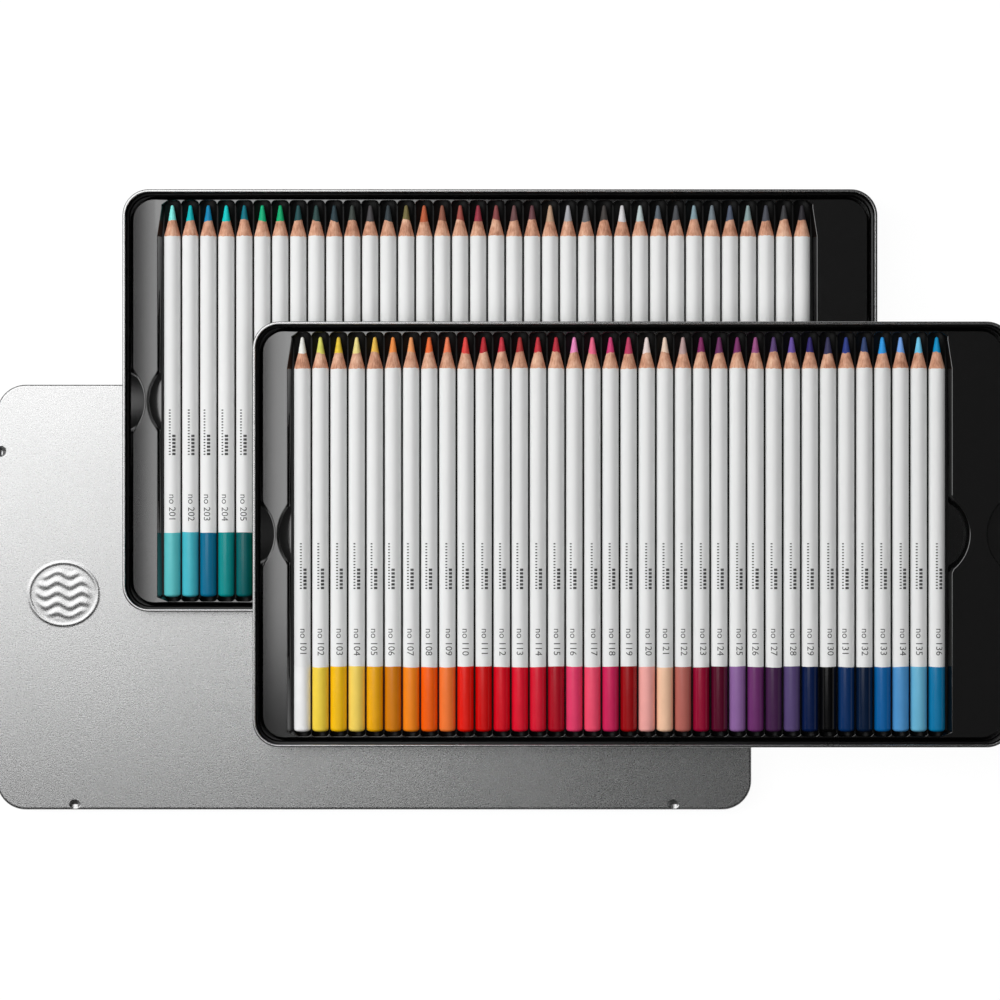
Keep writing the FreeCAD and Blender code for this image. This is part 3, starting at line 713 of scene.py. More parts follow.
def land_surface(outer, inner, sag):
    """The top between two loops as a grid-cut mesh that sags at the left land; sag is its (depth, reach)."""
    body, starts = filled_loops([[(x, y, 0.0) for x, y in loop] for loop in (outer, inner)])
    left, right = outer[:, 0].min(), outer[:, 0].max()
    row_left, row_right = inner[:, 0].min(), inner[:, 0].max()
    slice_mesh(body, 0, np.arange(left + CUT_MARGIN, row_left + CUT_LEFT[0], CUT_LEFT[1]))
    slice_mesh(body, 0, np.arange(row_right - CUT_RIGHT[0], right - CUT_MARGIN / 2, CUT_RIGHT[1]))
    slice_mesh(body, 1, np.arange(-CUT_REACH, CUT_REACH + CUT_MARGIN, CUT_ALONG))
    body.verts.index_update()
    places = np.array([vert.co[:2] for vert in body.verts])
    points = np.column_stack([places, LAND_HEIGHT - sag_at(places, left, *sag)])
    faces = [tuple(vert.index for vert in face.verts) for face in body.faces]
    rims = [[vert.index for vert in ordered_rim(rim[0])] for rim in starts]
    body.free()
    return points.tolist(), faces, rims


def slice_mesh(body, axis, places):
    """Cuts a mesh through at these places along an axis."""
    for place in places:
        spot, normal = [0.0, 0.0, 0.0], [0.0, 0.0, 0.0]
        spot[axis], normal[axis] = place, 1.0
        parts = body.verts[:] + body.edges[:] + body.faces[:]
        bmesh.ops.bisect_plane(body, geom=parts, dist=CUT_SNAP, plane_co=spot, plane_no=normal)


def ordered_rim(start):
    """The boundary vertices of a mesh from start, in order."""
    rim, last, vert = [start], None, start
    while True:
        nearby = [e for e in vert.link_edges if e.is_boundary and e != last]
        last = nearby[0]
        vert = last.other_vert(vert)
        if vert == start:
            return rim
        rim.append(vert)


def groove_bed(first, front, rear, left, right):
    """The grooved floor as a closed slab: round grooves that run out towards the pencils' tips."""
    columns, depths = [left], [0.0]
    for index in range(PENCILS):
        for share in np.linspace(-1, 1, GROOVE_POINTS):
            angle = share * math.acos((AXIS_HEIGHT - RIDGE_HEIGHT) / GROOVE_RADIUS)
            columns.append(first + PITCH * index + GROOVE_RADIUS * math.sin(angle))
            depths.append(RIDGE_HEIGHT - AXIS_HEIGHT + GROOVE_RADIUS * math.cos(angle))
    columns.append(right)
    depths.append(0.0)
    ends = [rear - TIP_RAMP, rear + BED_STEP, rear + BED_OVERLAP]
    rows = np.array([front - BED_OVERLAP, front - BED_STEP] + ends)
    shares = np.array([0.0, 1.0, 1.0, TIP_DEPTH, 0.0])
    x, y = np.meshgrid(columns, rows)
    upper = RIDGE_HEIGHT - np.outer(shares, depths)
    lower = np.maximum(upper - SHEET, 0.0)
    top = np.column_stack([x.ravel(), y.ravel(), upper.ravel()])
    under = np.column_stack([x.ravel(), y.ravel(), lower.ravel()])
    wide, tall = len(columns), len(rows)
    below = wide * tall
    faces = grid_cells(0, wide, tall)
    faces += [(a, d, c, b) for a, b, c, d in grid_cells(below, wide, tall)]
    edge = grid_edge(0, wide, tall)
    for here, there in zip(edge, edge[1:] + edge[:1]):
        faces.append((here, below + here, below + there, there))
    return np.vstack([top, under]), faces


LAND_DROPS = [(1 - math.cos(a), math.sin(a)) for a in np.radians(LAND_ROUNDING)]


def rounded_edge(loop, rounds):
    """Rings over a land's rounded edge, as (places, heights, share of the land's own height added)."""
    return [(offset_loop(loop, rounds * (1 - out)), -np.abs(rounds) * drop, 1.0) for drop, out in LAND_DROPS]


def outer_walls(land, in_notch, feet, rounds):
    """Rings from the land's outer edge to the foot, over the outer finger notches' floors."""
    wall_share = (LAND_HEIGHT - NOTCH_FLOOR) / LAND_HEIGHT
    wall = land + (feet - land) * wall_share
    wall[in_notch, 0] = (feet[:, 0] - np.sign(feet[:, 0]) * WALL_RUN * (1 - wall_share))[in_notch]
    lean_out = offset_loop(land, np.where(in_notch, -NOTCH_OUTER_RUN, 0.0))
    notch_foot = np.where(in_notch[:, None], lean_out, wall)
    level = np.full(len(land), NOTCH_FLOOR)
    deep = np.where(in_notch & (land[:, 0] < 0), NOTCH_FLOOR - NOTCH_TILT, NOTCH_FLOOR)
    rings = rounded_edge(land, rounds)
    return rings + [(notch_foot, deep, 0.0), (wall, level, 0.0), (feet, 0 * level, 0.0)]


def inner_walls(row, rounds, low_side, high_side):
    """Rings from the land's inner edge down round the row, over the inner finger notches' floors."""
    places, leans, floors = row[:, :2], row[:, 2], row[:, 3]
    at_left, in_pool = places[:, 0] < 0, floors < RIDGE_HEIGHT
    lean_in = offset_loop(places, leans)
    shore = lean_in.copy()
    shore[in_pool, 0] = np.where(at_left, low_side, high_side)[in_pool]
    past = np.where(at_left, lean_in[:, 0] > low_side, lean_in[:, 0] < high_side) & in_pool
    lean_in[past, 0] = shore[past, 0]
    steep = in_pool & at_left
    break_lean = offset_loop(places, np.where(steep, NOTCH_STEEP_RUN, leans * WALL_BREAK))
    break_height = np.where(steep, NOTCH_FLOOR + NOTCH_BANK, floors * WALL_BREAK)
    break_share = np.where(steep, 0.0, 1 - WALL_BREAK)
    rings = rounded_edge(places, rounds)
    rings += [(break_lean, break_height, break_share), (lean_in, floors, 0.0), (shore, floors, 0.0)]
    return rings + [(shore, np.full(len(row), height), 0.0) for height in (BED_FOOT, 0.0)]


def add_walls(sheet, rim, edge, rings, matt):
    """Adds walls to a sheet's points, faces and slots, from a rim of its vertices through rings round edge.

    A ring is (places, heights, share of the rim's own height added). matt says where a wall has the
    grooves' finish under its rounded edge. Returns the last ring's vertex numbers."""
    points, faces, slots = sheet
    start = np.array([points[number] for number in rim])
    shares, firsts, others, seconds = nearest_stretch(start[:, :2], edge)
    is_matt = matt[firsts] & matt[seconds]
    count = len(rim)
    for number, (places, heights, own) in enumerate(rings):
        table = np.column_stack([places, heights, np.broadcast_to(own, len(places))])
        here = shares[:, None] * table[firsts] + others[:, None] * table[seconds]
        current = list(range(len(points), len(points) + count))
        points += np.column_stack([here[:, :2], here[:, 2] + here[:, 3] * start[:, 2]]).tolist()
        for index in range(count):
            after = (index + 1) % count
            faces.append((rim[index], rim[after], current[after], current[index]))
            under_edge = number >= len(LAND_DROPS) and is_matt[index] and is_matt[after]
            slots.append(GROOVE if under_edge else LAND)
        rim = current
    return rim


def nearest_stretch(places, loop):
    """For each place on a loop, the loop's two points round it and its share of each."""
    following = np.roll(loop, -1, 0)
    shares, firsts, others, seconds = [], [], [], []
    for place in places:
        way = following - loop
        share = np.clip(((place - loop) * way).sum(1) / np.maximum((way ** 2).sum(1), TINY), 0, 1)
        gap = np.linalg.norm(place - loop - share[:, None] * way, axis=1)
        index = int(gap.argmin())
        shares.append(1 - share[index])
        firsts.append(index)
        others.append(share[index])
        seconds.append((index + 1) % len(loop))
    return np.array(shares), np.array(firsts), np.array(others), np.array(seconds)


def make_insert(name, node, sag):
    middle, foot, _ = middle_of(node)
    foot_width, foot_depth = size_of(node)
    width, depth = foot_width - 2 * WALL_RUN, foot_depth - 2 * WALL_RUN
    first = LEFT_LAND + SIDE_GAP + BARREL - width / 2
    front, rear = END_LIP - depth / 2, depth / 2 - END_LIP
    left_bank, right_bank = LEFT_LAND - width / 2, width / 2 - RIGHT_LAND
    low_side, high_side = left_bank + SIDE_RUN, right_bank - SIDE_RUN
    row = row_loop(first, front, rear, left_bank, right_bank)
    row_xy, leans, floors = row[:, :2], row[:, 2], row[:, 3]
    land, in_notch, feet = land_loop(width, depth)

    outer_round = np.where(np.abs(land[:, 1]) > depth / 2 - LIP_REACH, LIP_ROUND, EDGE_ROUND)
    inner_round = -np.where(leans == END_RUN, LIP_ROUND, EDGE_ROUND)
    outer_top, inner_top = offset_loop(land, outer_round), offset_loop(row_xy, inner_round)
    points, faces, rims = land_surface(outer_top, inner_top, sag)
    slots = [LAND] * len(faces)
    sheet = points, faces, slots
    outer_rings = outer_walls(land, in_notch, feet, outer_round)
    inner_rings = inner_walls(row, inner_round, low_side, high_side)
    outer_end = add_walls(sheet, rims[0], outer_top, outer_rings, matt=np.zeros(len(land), dtype=bool))
    beside_pencils = (leans > END_RUN) & (floors == RIDGE_HEIGHT)
    inner_end = add_walls(sheet, rims[1], inner_top, inner_rings, matt=beside_pencils)
    faces += fill_between(np.array(points), outer_end, inner_end)
    slots += [LAND] * (len(faces) - len(slots))

    bed_points, bed_faces = groove_bed(first, front, rear, low_side - BED_SIDE, high_side + BED_SIDE)
    faces += [tuple(len(points) + number for number in face) for face in bed_faces]
    slots += [GROOVE] * len(bed_faces)
    every = np.vstack([points, bed_points]) + np.array([middle[0], middle[1], foot])
    insert = make_piece(name, every, faces, insert_materials, slots, sharp=INSERT_CREASE)
    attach(insert, node)
    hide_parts(node)


BACK_SAG = (1.2, 26.0)
FRONT_SAG = (0.35, 13.0)
make_insert("back_liner", "back_insert", BACK_SAG)
make_insert("front_liner", "front_insert", FRONT_SAG)

# Pencils: a cedar casing round a pigment core, turned round, lacquered white and dipped at the blunt end in
# the pigment's colour. Machine sharpening leaves a wavy lacquer edge and an uneven wood line on the core.
# A shade number and a small wash scale are printed along the barrel.

PENCIL_LENGTH = 175.0
CORE_RADIUS = 1.8
LEAD_LENGTH = 7.0
WOOD_LENGTH = 7.0
TIP_RADIUS = 0.75
TIP_ROUND = 0.7
END_ROUND = 1.65
END_CROWN = 0.3
DIP_LENGTH = 29.0
COAT = 0.04
SIDES = 48
LACQUER, DIP, CEDAR, LEAD, INK = range(5)
PRINT_LIFT = 0.012
PRINT_SINK = 0.03
NUMBER_SIZE = 4.3
NUMBER_FROM_END = 40.0
SCALE_FROM_END = 73.6
SCALE_LENGTH = 21.0
SCALE_TICKS = 16
SCALE_BLOCKS = 6
TICK_BAR = (-1.0, 0.55, 0.9)
BLOCK_BAR = (0.9, 1.05, 1.5)
BLOCK_START = 0.04
BLOCK_SHARE = 0.46
PRINT_CUTS = 0.3
PRINT_TURN = 0.22
END_SHARES = (0.35, 0.7, 1.0)
END_ANGLES = (20, 40, 60, 80, 90)
DIP_SHIFT = 0.25
DIP_LIP = ((0.5, 0.0), (0.08, 0.008))
LACQUER_END = 1.6
LACQUER_SHIFT = (-0.15, 0.25)
WOOD_RINGS = (1.4, 3.6)
LEAD_SHIFT = 0.4
LEAD_RINGS = (4.8, 2.6, TIP_ROUND)
TIP_SHARES = (0.45, 0.75, 0.93)
BLUNT_GAP = 1.9
PENCIL_CREASE = 40.0
SWAY_SHARES = (0.2, 1.0)
RIPPLE_SHARES = (0.3, 1.0)

FRONT_PIGMENTS = {
    "white": ((214, 208, 198), (232, 231, 228)),
    "lime": ((190, 188, 90), (226, 196, 70)),
    "lemon": ((230, 174, 52), (228, 178, 36)),
    "straw": ((222, 190, 122), (234, 198, 92)),
    "gold": ((224, 164, 68), (220, 158, 34)),
    "amber": ((232, 122, 60), (196, 118, 34)),
    "apricot": ((238, 134, 84), (234, 128, 40)),
    "orange": ((240, 94, 46), (238, 94, 32)),
    "coral": ((234, 108, 74), (246, 116, 58)),
    "scarlet": ((196, 60, 56), (212, 40, 34)),
    "red": ((158, 34, 42), (192, 20, 34)),
    "ruby": ((172, 44, 56), (200, 28, 44)),
    "vermilion": ((148, 44, 44), (206, 36, 52)),
    "cherry": ((170, 42, 52), (200, 40, 56)),
    "crimson": ((160, 38, 52), (160, 20, 44)),
    "pink": ((250, 120, 166), (216, 64, 102)),
    "rose": ((206, 90, 120), (226, 78, 106)),
    "fuchsia": ((180, 54, 102), (192, 46, 88)),
    "raspberry": ((166, 52, 84), (144, 20, 36)),
    "blush": ((240, 190, 186), (250, 160, 154)),
    "peach": ((242, 182, 164), (250, 186, 156)),
    "mauve": ((162, 136, 134), (170, 98, 90)),
    "wine": ((114, 36, 84), (140, 22, 56)),
    "aubergine": ((96, 42, 84), (84, 20, 48)),
    "lilac": ((108, 42, 90), (134, 98, 150)),
    "plum": ((134, 70, 114), (104, 54, 102)),
    "grape": ((80, 58, 102), (70, 46, 74)),
    "violet": ((90, 68, 140), (86, 72, 112)),
    "ultramarine": ((42, 34, 94), (26, 42, 72)),
    "midnight": ((48, 46, 76), (22, 26, 34)),
    "cobalt": ((40, 54, 120), (28, 54, 94)),
    "navy": ((44, 60, 98), (30, 42, 60)),
    "cerulean": ((40, 134, 200), (10, 94, 152)),
    "cornflower": ((102, 144, 202), (80, 142, 194)),
    "sky": ((98, 174, 204), (104, 172, 202)),
    "azure": ((4, 128, 176), (6, 114, 158)),
}

BACK_PIGMENTS = {
    "aqua": ((112, 204, 196), (92, 182, 186)),
    "lagoon": ((8, 160, 164), (72, 172, 186)),
    "turquoise": ((12, 116, 158), (24, 104, 136)),
    "jade": ((8, 174, 172), (26, 132, 132)),
    "petrol": ((6, 100, 114), (2, 94, 96)),
    "mint": ((10, 156, 108), (10, 150, 104)),
    "emerald": ((10, 150, 96), (10, 140, 90)),
    "spruce": ((32, 68, 70), (30, 64, 66)),
    "pine": ((42, 66, 64), (40, 62, 60)),
    "forest": ((40, 56, 62), (38, 54, 58)),
    "moss": ((56, 62, 58), (52, 58, 54)),
    "basalt": ((64, 62, 64), (60, 58, 60)),
    "slate": ((46, 54, 58), (44, 50, 54)),
    "olive": ((104, 96, 58), (100, 92, 54)),
    "rust": ((164, 82, 52), (158, 78, 48)),
    "chestnut": ((126, 78, 62), (120, 74, 58)),
    "brick": ((138, 68, 60), (132, 64, 56)),
    "garnet": ((136, 46, 60), (130, 42, 56)),
    "mahogany": ((120, 62, 62), (114, 58, 58)),
    "umber": ((98, 68, 68), (94, 64, 64)),
    "cocoa": ((92, 58, 62), (88, 54, 58)),
    "sand": ((166, 136, 112), (160, 130, 106)),
    "silver": ((150, 150, 154), (146, 146, 150)),
    "graphite": ((92, 92, 94), (88, 88, 90)),
    "sepia": ((60, 56, 54), (56, 52, 50)),
    "pearl": ((188, 186, 188), (184, 182, 184)),
    "mist": ((164, 176, 176), (158, 170, 170)),
    "steel": ((80, 88, 96), (76, 84, 92)),
    "charcoal": ((66, 68, 72), (62, 64, 68)),
    "dove": ((118, 140, 148), (112, 134, 142)),
    "pewter": ((102, 112, 118), (98, 108, 114)),
    "storm": ((70, 78, 94), (66, 74, 90)),
    "sage": ((120, 140, 140), (114, 134, 134)),
    "iron": ((68, 70, 78), (64, 66, 74)),
    "soot": ((54, 54, 56), (50, 50, 52)),
    "black": ((40, 38, 42), (36, 34, 38)),
}


DIP_TONE = (1.27, 0.018)
LEAD_TONE = (1.6, 0.0)
PIGMENT_RANGE = (0.002, 0.97)


def pigment(colour, gain, haze):
    """A pigment's own linear colour, without the light that its gloss throws back over it."""
    low, high = PIGMENT_RANGE
    parts = [min(max(part * gain - haze, low), high) for part in linear(colour)[:3]]
    return (*parts, 1.0)


# White lacquer: glossy, with faint unevenness from the coats and slightly yellowed patches.
barrel_lacquer = make_surface(
    "pencil_lacquer",
    sizes=(0.004, 0.02),
    tone=(SMUDGE, [(0.25, (0.845, 0.85, 0.845)), (0.75, (0.87, 0.875, 0.87))]),
    rough=(SMUDGE, 0.36, 0.10),
    bump=(GRAIN, 0.000012),
    ior=1.45,
)

# Coloured dipping lacquer: thick, glossy, a little uneven where it ran.
dip_lacquer = make_surface(
    "pencil_dip",
    sizes=(0.004, 0.009),
    tone=(SMUDGE, [(NOISE_LOW, 0.94), (NOISE_HIGH, 1.0)]),
    rough=(SMUDGE, 0.21, 0.08),
    bump=(GRAIN, 0.00002),
    tinted=True,
    ior=1.5,
)

# Dark grey foil print: thin, worn unevenly.
print_ink = make_surface(
    "pencil_print",
    sizes=(0.0003, 0.002),
    tone=(SMUDGE, [(0.35, 0.035), (0.65, 0.12)]),
    rough=(GRAIN, 0.42, 0.2),
    ior=1.5,
)


def make_cedar():
    """Sharpened cedar: reddish, matt, with darker grain lines along the pencil that differ on each one."""
    material, tree, shader = new_material("pencil_cedar", ior=1.45)
    place = add_node(tree, "ShaderNodeTexCoord").outputs["Object"]
    own = add_node(tree, "ShaderNodeObjectInfo").outputs["Random"]
    shift = add_node(tree, "ShaderNodeCombineXYZ", {"X": own, "Y": own, "Z": own}).outputs[0]
    moved = add_node(tree, "ShaderNodeVectorMath", {0: place, 1: shift}, operation="ADD").outputs[0]
    stretch = {"Vector": moved, "Scale": (1500.0, 110.0, 1500.0)}
    fibre = add_node(tree, "ShaderNodeMapping", stretch).outputs[0]
    fine = {"Vector": fibre, "Scale": 1.0, "Detail": 4.0, "Roughness": 0.65}
    lines = add_node(tree, "ShaderNodeTexNoise", fine).outputs["Fac"]
    wide = {"Vector": moved, "Scale": 180.0, "Detail": 2.0}
    broad = add_node(tree, "ShaderNodeTexNoise", wide).outputs["Fac"]
    both = add_node(tree, "ShaderNodeMath", {0: lines, 1: broad}, operation="ADD").outputs[0]
    grain = add_node(tree, "ShaderNodeMath", {0: both, 1: 0.5}, operation="MULTIPLY").outputs[0]
    tones = ((0.34, (178, 120, 92)), (0.5, (221, 165, 136)), (0.66, (244, 200, 170)))
    colour = add_ramp(tree, grain, [(stop, linear(tone)[:3]) for stop, tone in tones])
    rough = mix_values(tree, level=0.62, noise=lines, amount=0.2)
    normal = add_bump(tree, lines, distance=0.00006)
    link_shader(tree, shader, base_color=colour, roughness=rough, normal=normal)
    return material


def make_lead():
    """Pigment core: waxy and matt, with fine turning marks from the sharpener."""
    waxy = {"tone": (SMUDGE, [(NOISE_LOW, 0.86), (NOISE_HIGH, 1.0)]), "rough": (GRAIN, 0.55, 0.15)}
    material = make_surface("pencil_core", sizes=(0.0004, 0.003), **waxy, tinted=True, ior=1.45)
    tree = material.node_tree
    place = add_node(tree, "ShaderNodeTexCoord").outputs["Object"]
    turning = {"Vector": place, "Scale": 900.0, "Distortion": 3.0, "Detail": 2.0}
    marks = add_node(tree, "ShaderNodeTexWave", turning, bands_direction="Y").outputs["Fac"]
    normal = add_bump(tree, marks, distance=0.000012)
    link_shader(tree, tree.nodes["Principled BSDF"], normal=normal)
    return material


pencil_materials = [barrel_lacquer, dip_lacquer, make_cedar(), make_lead(), print_ink]


def pencil_radius(place):
    """The pencil's radius at a distance from the blunt end, under the dip and lacquer's own thickness."""
    wood_start = PENCIL_LENGTH - LEAD_LENGTH - WOOD_LENGTH
    lead_start = PENCIL_LENGTH - LEAD_LENGTH
    nose = PENCIL_LENGTH - TIP_ROUND
    if place >= nose:
        share = min((place - nose) / TIP_ROUND, 1.0)
        return TIP_RADIUS * math.sqrt(max(1 - share ** 2, 0.0))
    if place >= lead_start:
        return CORE_RADIUS + (TIP_RADIUS - CORE_RADIUS) * (place - lead_start) / (nose - lead_start)
    if place >= wood_start:
        return BARREL - COAT + (CORE_RADIUS - BARREL + COAT) * (place - wood_start) / WOOD_LENGTH
    return BARREL - COAT


def wavy(chance, angles, sway, ripple, ripples):
    """An uneven edge round a pencil: one slow sway and several small scallops."""
    turn = chance.uniform(0, 2 * math.pi)
    edge = sway * chance.uniform(*SWAY_SHARES) * np.cos(angles - turn)
    for count in ripples:
        height = ripple * chance.uniform(*RIPPLE_SHARES)
        edge += height * np.cos(count * angles + chance.uniform(0, 2 * math.pi))
    return edge


def pencil_rings(chance):
    """Rings of (distances, radii, slot of the band that follows) along a pencil, from the blunt end."""
    angles = np.linspace(0, 2 * math.pi, SIDES, endpoint=False)
    plain = np.zeros(SIDES)
    flat = BARREL - END_ROUND
    rings = [(plain + END_CROWN * (share ** 2), plain + flat * share, DIP) for share in END_SHARES]
    for angle in np.radians(END_ANGLES):
        back = END_CROWN + (END_ROUND - END_CROWN) * (1 - math.cos(angle))
        rings.append((plain + back, plain + flat + END_ROUND * math.sin(angle), DIP))
    dip_edge = DIP_LENGTH + chance.uniform(-DIP_SHIFT, DIP_SHIFT)
    dip_edge = dip_edge + wavy(chance, angles, sway=0.12, ripple=0.05, ripples=(2, 3))
    rings += [(dip_edge - back, plain + BARREL - drop, DIP) for back, drop in DIP_LIP]
    rings.append((dip_edge, plain + BARREL - COAT, LACQUER))
    wood_start = PENCIL_LENGTH - LEAD_LENGTH - WOOD_LENGTH
    rings.append((plain + PENCIL_LENGTH / 2, plain + BARREL - COAT, LACQUER))
    rings.append((plain + wood_start - LACQUER_END, plain + BARREL - COAT, LACQUER))
    shift = chance.uniform(*LACQUER_SHIFT)
    lacquer_edge = wood_start + shift + wavy(chance, angles, sway=0.12, ripple=0.09, ripples=(5, 8, 11))
    rings.append(on_profile(lacquer_edge, CEDAR))
    rings += [on_profile(plain + wood_start + place, CEDAR) for place in WOOD_RINGS]
    lead_start = PENCIL_LENGTH - LEAD_LENGTH + chance.uniform(-LEAD_SHIFT, LEAD_SHIFT)
    lead_edge = lead_start + wavy(chance, angles, sway=0.55, ripple=0.12, ripples=(2, 3, 5))
    rings.append(on_profile(lead_edge, LEAD))
    from_tip = list(LEAD_RINGS) + [TIP_ROUND * (1 - share) for share in TIP_SHARES]
    return rings + [on_profile(plain + PENCIL_LENGTH - place, LEAD) for place in from_tip]


def on_profile(places, slot):
    return places, np.array([pencil_radius(place) for place in places]), slot


def glyph_mesh(text):
    """A number as flat, closed, cut-up letters: points as (along, across, lift) and faces."""
    curve = bpy.data.curves.new("number", type="FONT")
    curve.body = text
    curve.size = NUMBER_SIZE
    curve.align_x = "CENTER"
    curve.align_y = "CENTER"
    curve.extrude = (PRINT_LIFT + PRINT_SINK) / 2
    curve.resolution_u = 3
    lettering = bpy.data.objects.new("number", curve)
    mesh = bpy.data.meshes.new_from_object(lettering)
    body = bmesh.new()
    body.from_mesh(mesh)
    bpy.data.objects.remove(lettering)
    bpy.data.curves.remove(curve)
    bpy.data.meshes.remove(mesh)
    bmesh.ops.remove_doubles(body, verts=body.verts, dist=CUT_SNAP)
    return cut_up(body)


def scale_mesh():
    """A wash scale: a row of fine ticks and a shorter row of blocks beside it, closed and cut up."""
    body = bmesh.new()
    half = (PRINT_LIFT + PRINT_SINK) / 2
    bars = []
    for index in range(SCALE_TICKS):
        bars.append((SCALE_LENGTH * ((index + 0.5) / SCALE_TICKS - 0.5), *TICK_BAR))
    for index in range(SCALE_BLOCKS):
        share = BLOCK_START + BLOCK_SHARE * (index + 0.5) / SCALE_BLOCKS
        bars.append((SCALE_LENGTH * share, *BLOCK_BAR))
    for along, across, long, tall in bars:
        made = bmesh.ops.create_cube(body, size=1.0)["verts"]
        bmesh.ops.scale(body, vec=(long, tall, 2 * half), verts=made)
        bmesh.ops.translate(body, vec=(along, across, 0.0), verts=made)
    return cut_up(body)


def cut_up(body):
    """Cuts print across its height so that it bends round the barrel, and frees the mesh."""
    low = min(vert.co.y for vert in body.verts)
    high = max(vert.co.y for vert in body.verts)
    slice_mesh(body, 1, np.arange(low + PRINT_CUTS, high, PRINT_CUTS))
    body.verts.index_update()
    points = np.array([vert.co[:] for vert in body.verts])
    faces = [tuple(vert.index for vert in face.verts) for face in body.faces]
    body.free()
    return points, faces


wash_scale = scale_mesh()


def wrap_print(points, from_end, turn):
    """Bends flat print round the barrel: reading runs from the tip to the blunt end, tops to the right."""
    radius = BARREL - COAT + points[:, 2] + (PRINT_LIFT - PRINT_SINK) / 2
    angle = points[:, 1] / BARREL + turn
    return np.column_stack([radius * np.sin(angle), from_end - points[:, 0], radius * np.cos(angle)])


def make_pencil(name, axis, blunt_end, height, pigments, number, seed):
    """One pencil along +Y: axis is its X, blunt_end the Y of its dipped end, height that of its axis."""
    chance = random.Random(seed)
    rings = pencil_rings(chance)
    angles = np.linspace(0, 2 * math.pi, SIDES, endpoint=False)
    points, faces, slots = [np.array([[0.0, 0.0, 0.0]])], [], []
    faces += [(0, 1 + i, 1 + (i + 1) % SIDES) for i in range(SIDES)]
    slots += [DIP] * SIDES
    for index, (places, radii, slot) in enumerate(rings):
        points.append(np.column_stack([radii * np.sin(angles), places, radii * np.cos(angles)]))
        if index < len(rings) - 1:
            faces += bridge(SIDES, 1 + index * SIDES, 1 + (index + 1) * SIDES)
            slots += [slot] * SIDES
    start = 1 + (len(rings) - 1) * SIDES
    tip = start + SIDES
    points.append(np.array([[0.0, PENCIL_LENGTH, 0.0]]))
    faces += [(start + i, start + (i + 1) % SIDES, tip) for i in range(SIDES)]
    slots += [LEAD] * SIDES

    turn = chance.uniform(-PRINT_TURN, PRINT_TURN)
    prints = ((glyph_mesh(number), NUMBER_FROM_END), (wash_scale, SCALE_FROM_END))
    for (flat, flat_faces), from_end in prints:
        total = sum(len(block) for block in points)
        points.append(wrap_print(flat, from_end, turn))
        faces += [tuple(total + corner for corner in face) for face in flat_faces]
        slots += [INK] * len(flat_faces)
    every = np.vstack(points) + np.array([axis, blunt_end, height])
    pencil = make_piece(name, every, faces, pencil_materials, slots, sharp=PENCIL_CREASE)
    lead, dip = pigment(pigments[0], *LEAD_TONE), pigment(pigments[1], *DIP_TONE)
    tints = pencil.data.attributes.new("pigment", "FLOAT_COLOR", "FACE")
    chosen = [dip if face.material_index == DIP else lead for face in pencil.data.polygons]
    tints.data.foreach_set("color", np.array(chosen, dtype=np.float32).ravel())
    return pencil


TRAY_OFFSETS = {"front": 101, "back": 201}
COVERED_BUNDLES = [(6, 9), (10, 13), (14, 17), (18, 21), (22, 25), (26, 29), (30, 33), (34, 36)]


def fill_row(tray, pigments, place_piece):
    """All the pencils of one tray; place_piece names each and says what it rides on and replaces."""
    middle, foot, _ = middle_of(tray + "_insert")
    width, depth = size_of(tray + "_insert")
    first = LEFT_LAND + SIDE_GAP + BARREL + WALL_RUN - width / 2 + middle[0]
    blunt_end = middle[1] - depth / 2 + WALL_RUN + END_LIP + BLUNT_GAP
    for index, (colour, pair) in enumerate(pigments.items()):
        name, body, node, slot = place_piece(index + 1, colour)
        shade = TRAY_OFFSETS[tray] + index
        axis = first + PITCH * index
        pencil = make_pencil(name, axis, blunt_end, foot + AXIS_HEIGHT, pair, f"no {shade}", shade)
        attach(pencil, body)
        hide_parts(node)


def front_place(number, colour):
    node = f"pencil_{number:02d}_{colour}"
    return "front_" + node, node, node, "pencil_" + colour


def back_place(number, colour):
    name = f"rear_pencil_{number:02d}_{colour}"
    node = f"back_pencil_{number:02d}_{colour}"
    for low, high in COVERED_BUNDLES:
        if low <= number <= high:
            return name, "back_insert", f"back_pencils_{low:02d}_to_{high:02d}", "covered_pencils"
    return name, node, node, "pencil_" + colour


fill_row("back", BACK_PIGMENTS, back_place)
fill_row("front", FRONT_PIGMENTS, front_place)

# Studio: a white table in a dark tent. A wide soft light hangs at the upper left, so that flat metal shades
# from light at the left to dark at the right. A low one at the left rounds the barrels and an even fill hangs
# above: both stay out of reflections. The tent shows in reflections alone.

FLOOR_HALF = 6.0
FLOOR_GLOW = 1.08
FLOOR_SEEN = 0.86
BACKDROP_LIGHT = 0.03
TENT_FOOT = 0.01
TENT_HALF = 2.6
TENT_HEIGHT = 2.5
# Painted glow on the tent's lower walls, standing in for light thrown up from the table, and the heights over
# which it fades out.
TENT_PAINTED_GLOW = 0.4
TENT_PAINTED_GLOW_FADE = (0.9, 1.5)
CAMERA_HEIGHT = 1.6
CAMERA_PLACE = (-0.00051, 0.00025)
CAMERA_LENS = 127.9
CAMERA_SENSOR = 36.0
CAMERA_REACH = 50.0
WHITE = (1.0, 1.0, 1.0, 1.0)
TABLE_WHITE = (0.85, 0.85, 0.85, 1.0)


def add_panel(name, corners, faces, material):
    mesh = bpy.data.meshes.new(name)
    mesh.from_pydata(corners, [], faces)
    mesh.materials.append(material)
    panel = bpy.data.objects.new(name, mesh)
    bpy.context.scene.collection.objects.link(panel)
    return panel


def square(half):
    """The corners of a square in plan, anticlockwise."""
    return [(-half, -half), (half, -half), (half, half), (-half, half)]


def seen_directly(tree):
    """1 for camera, glossy and transmission rays, else 0."""
    path = add_node(tree, "ShaderNodeLightPath").outputs
    seen = path["Is Camera Ray"]
    for kind in ("Is Glossy Ray", "Is Transmission Ray"):
        seen = add_node(tree, "ShaderNodeMath", {0: seen, 1: path[kind]}, operation="MAXIMUM").outputs[0]
    return seen


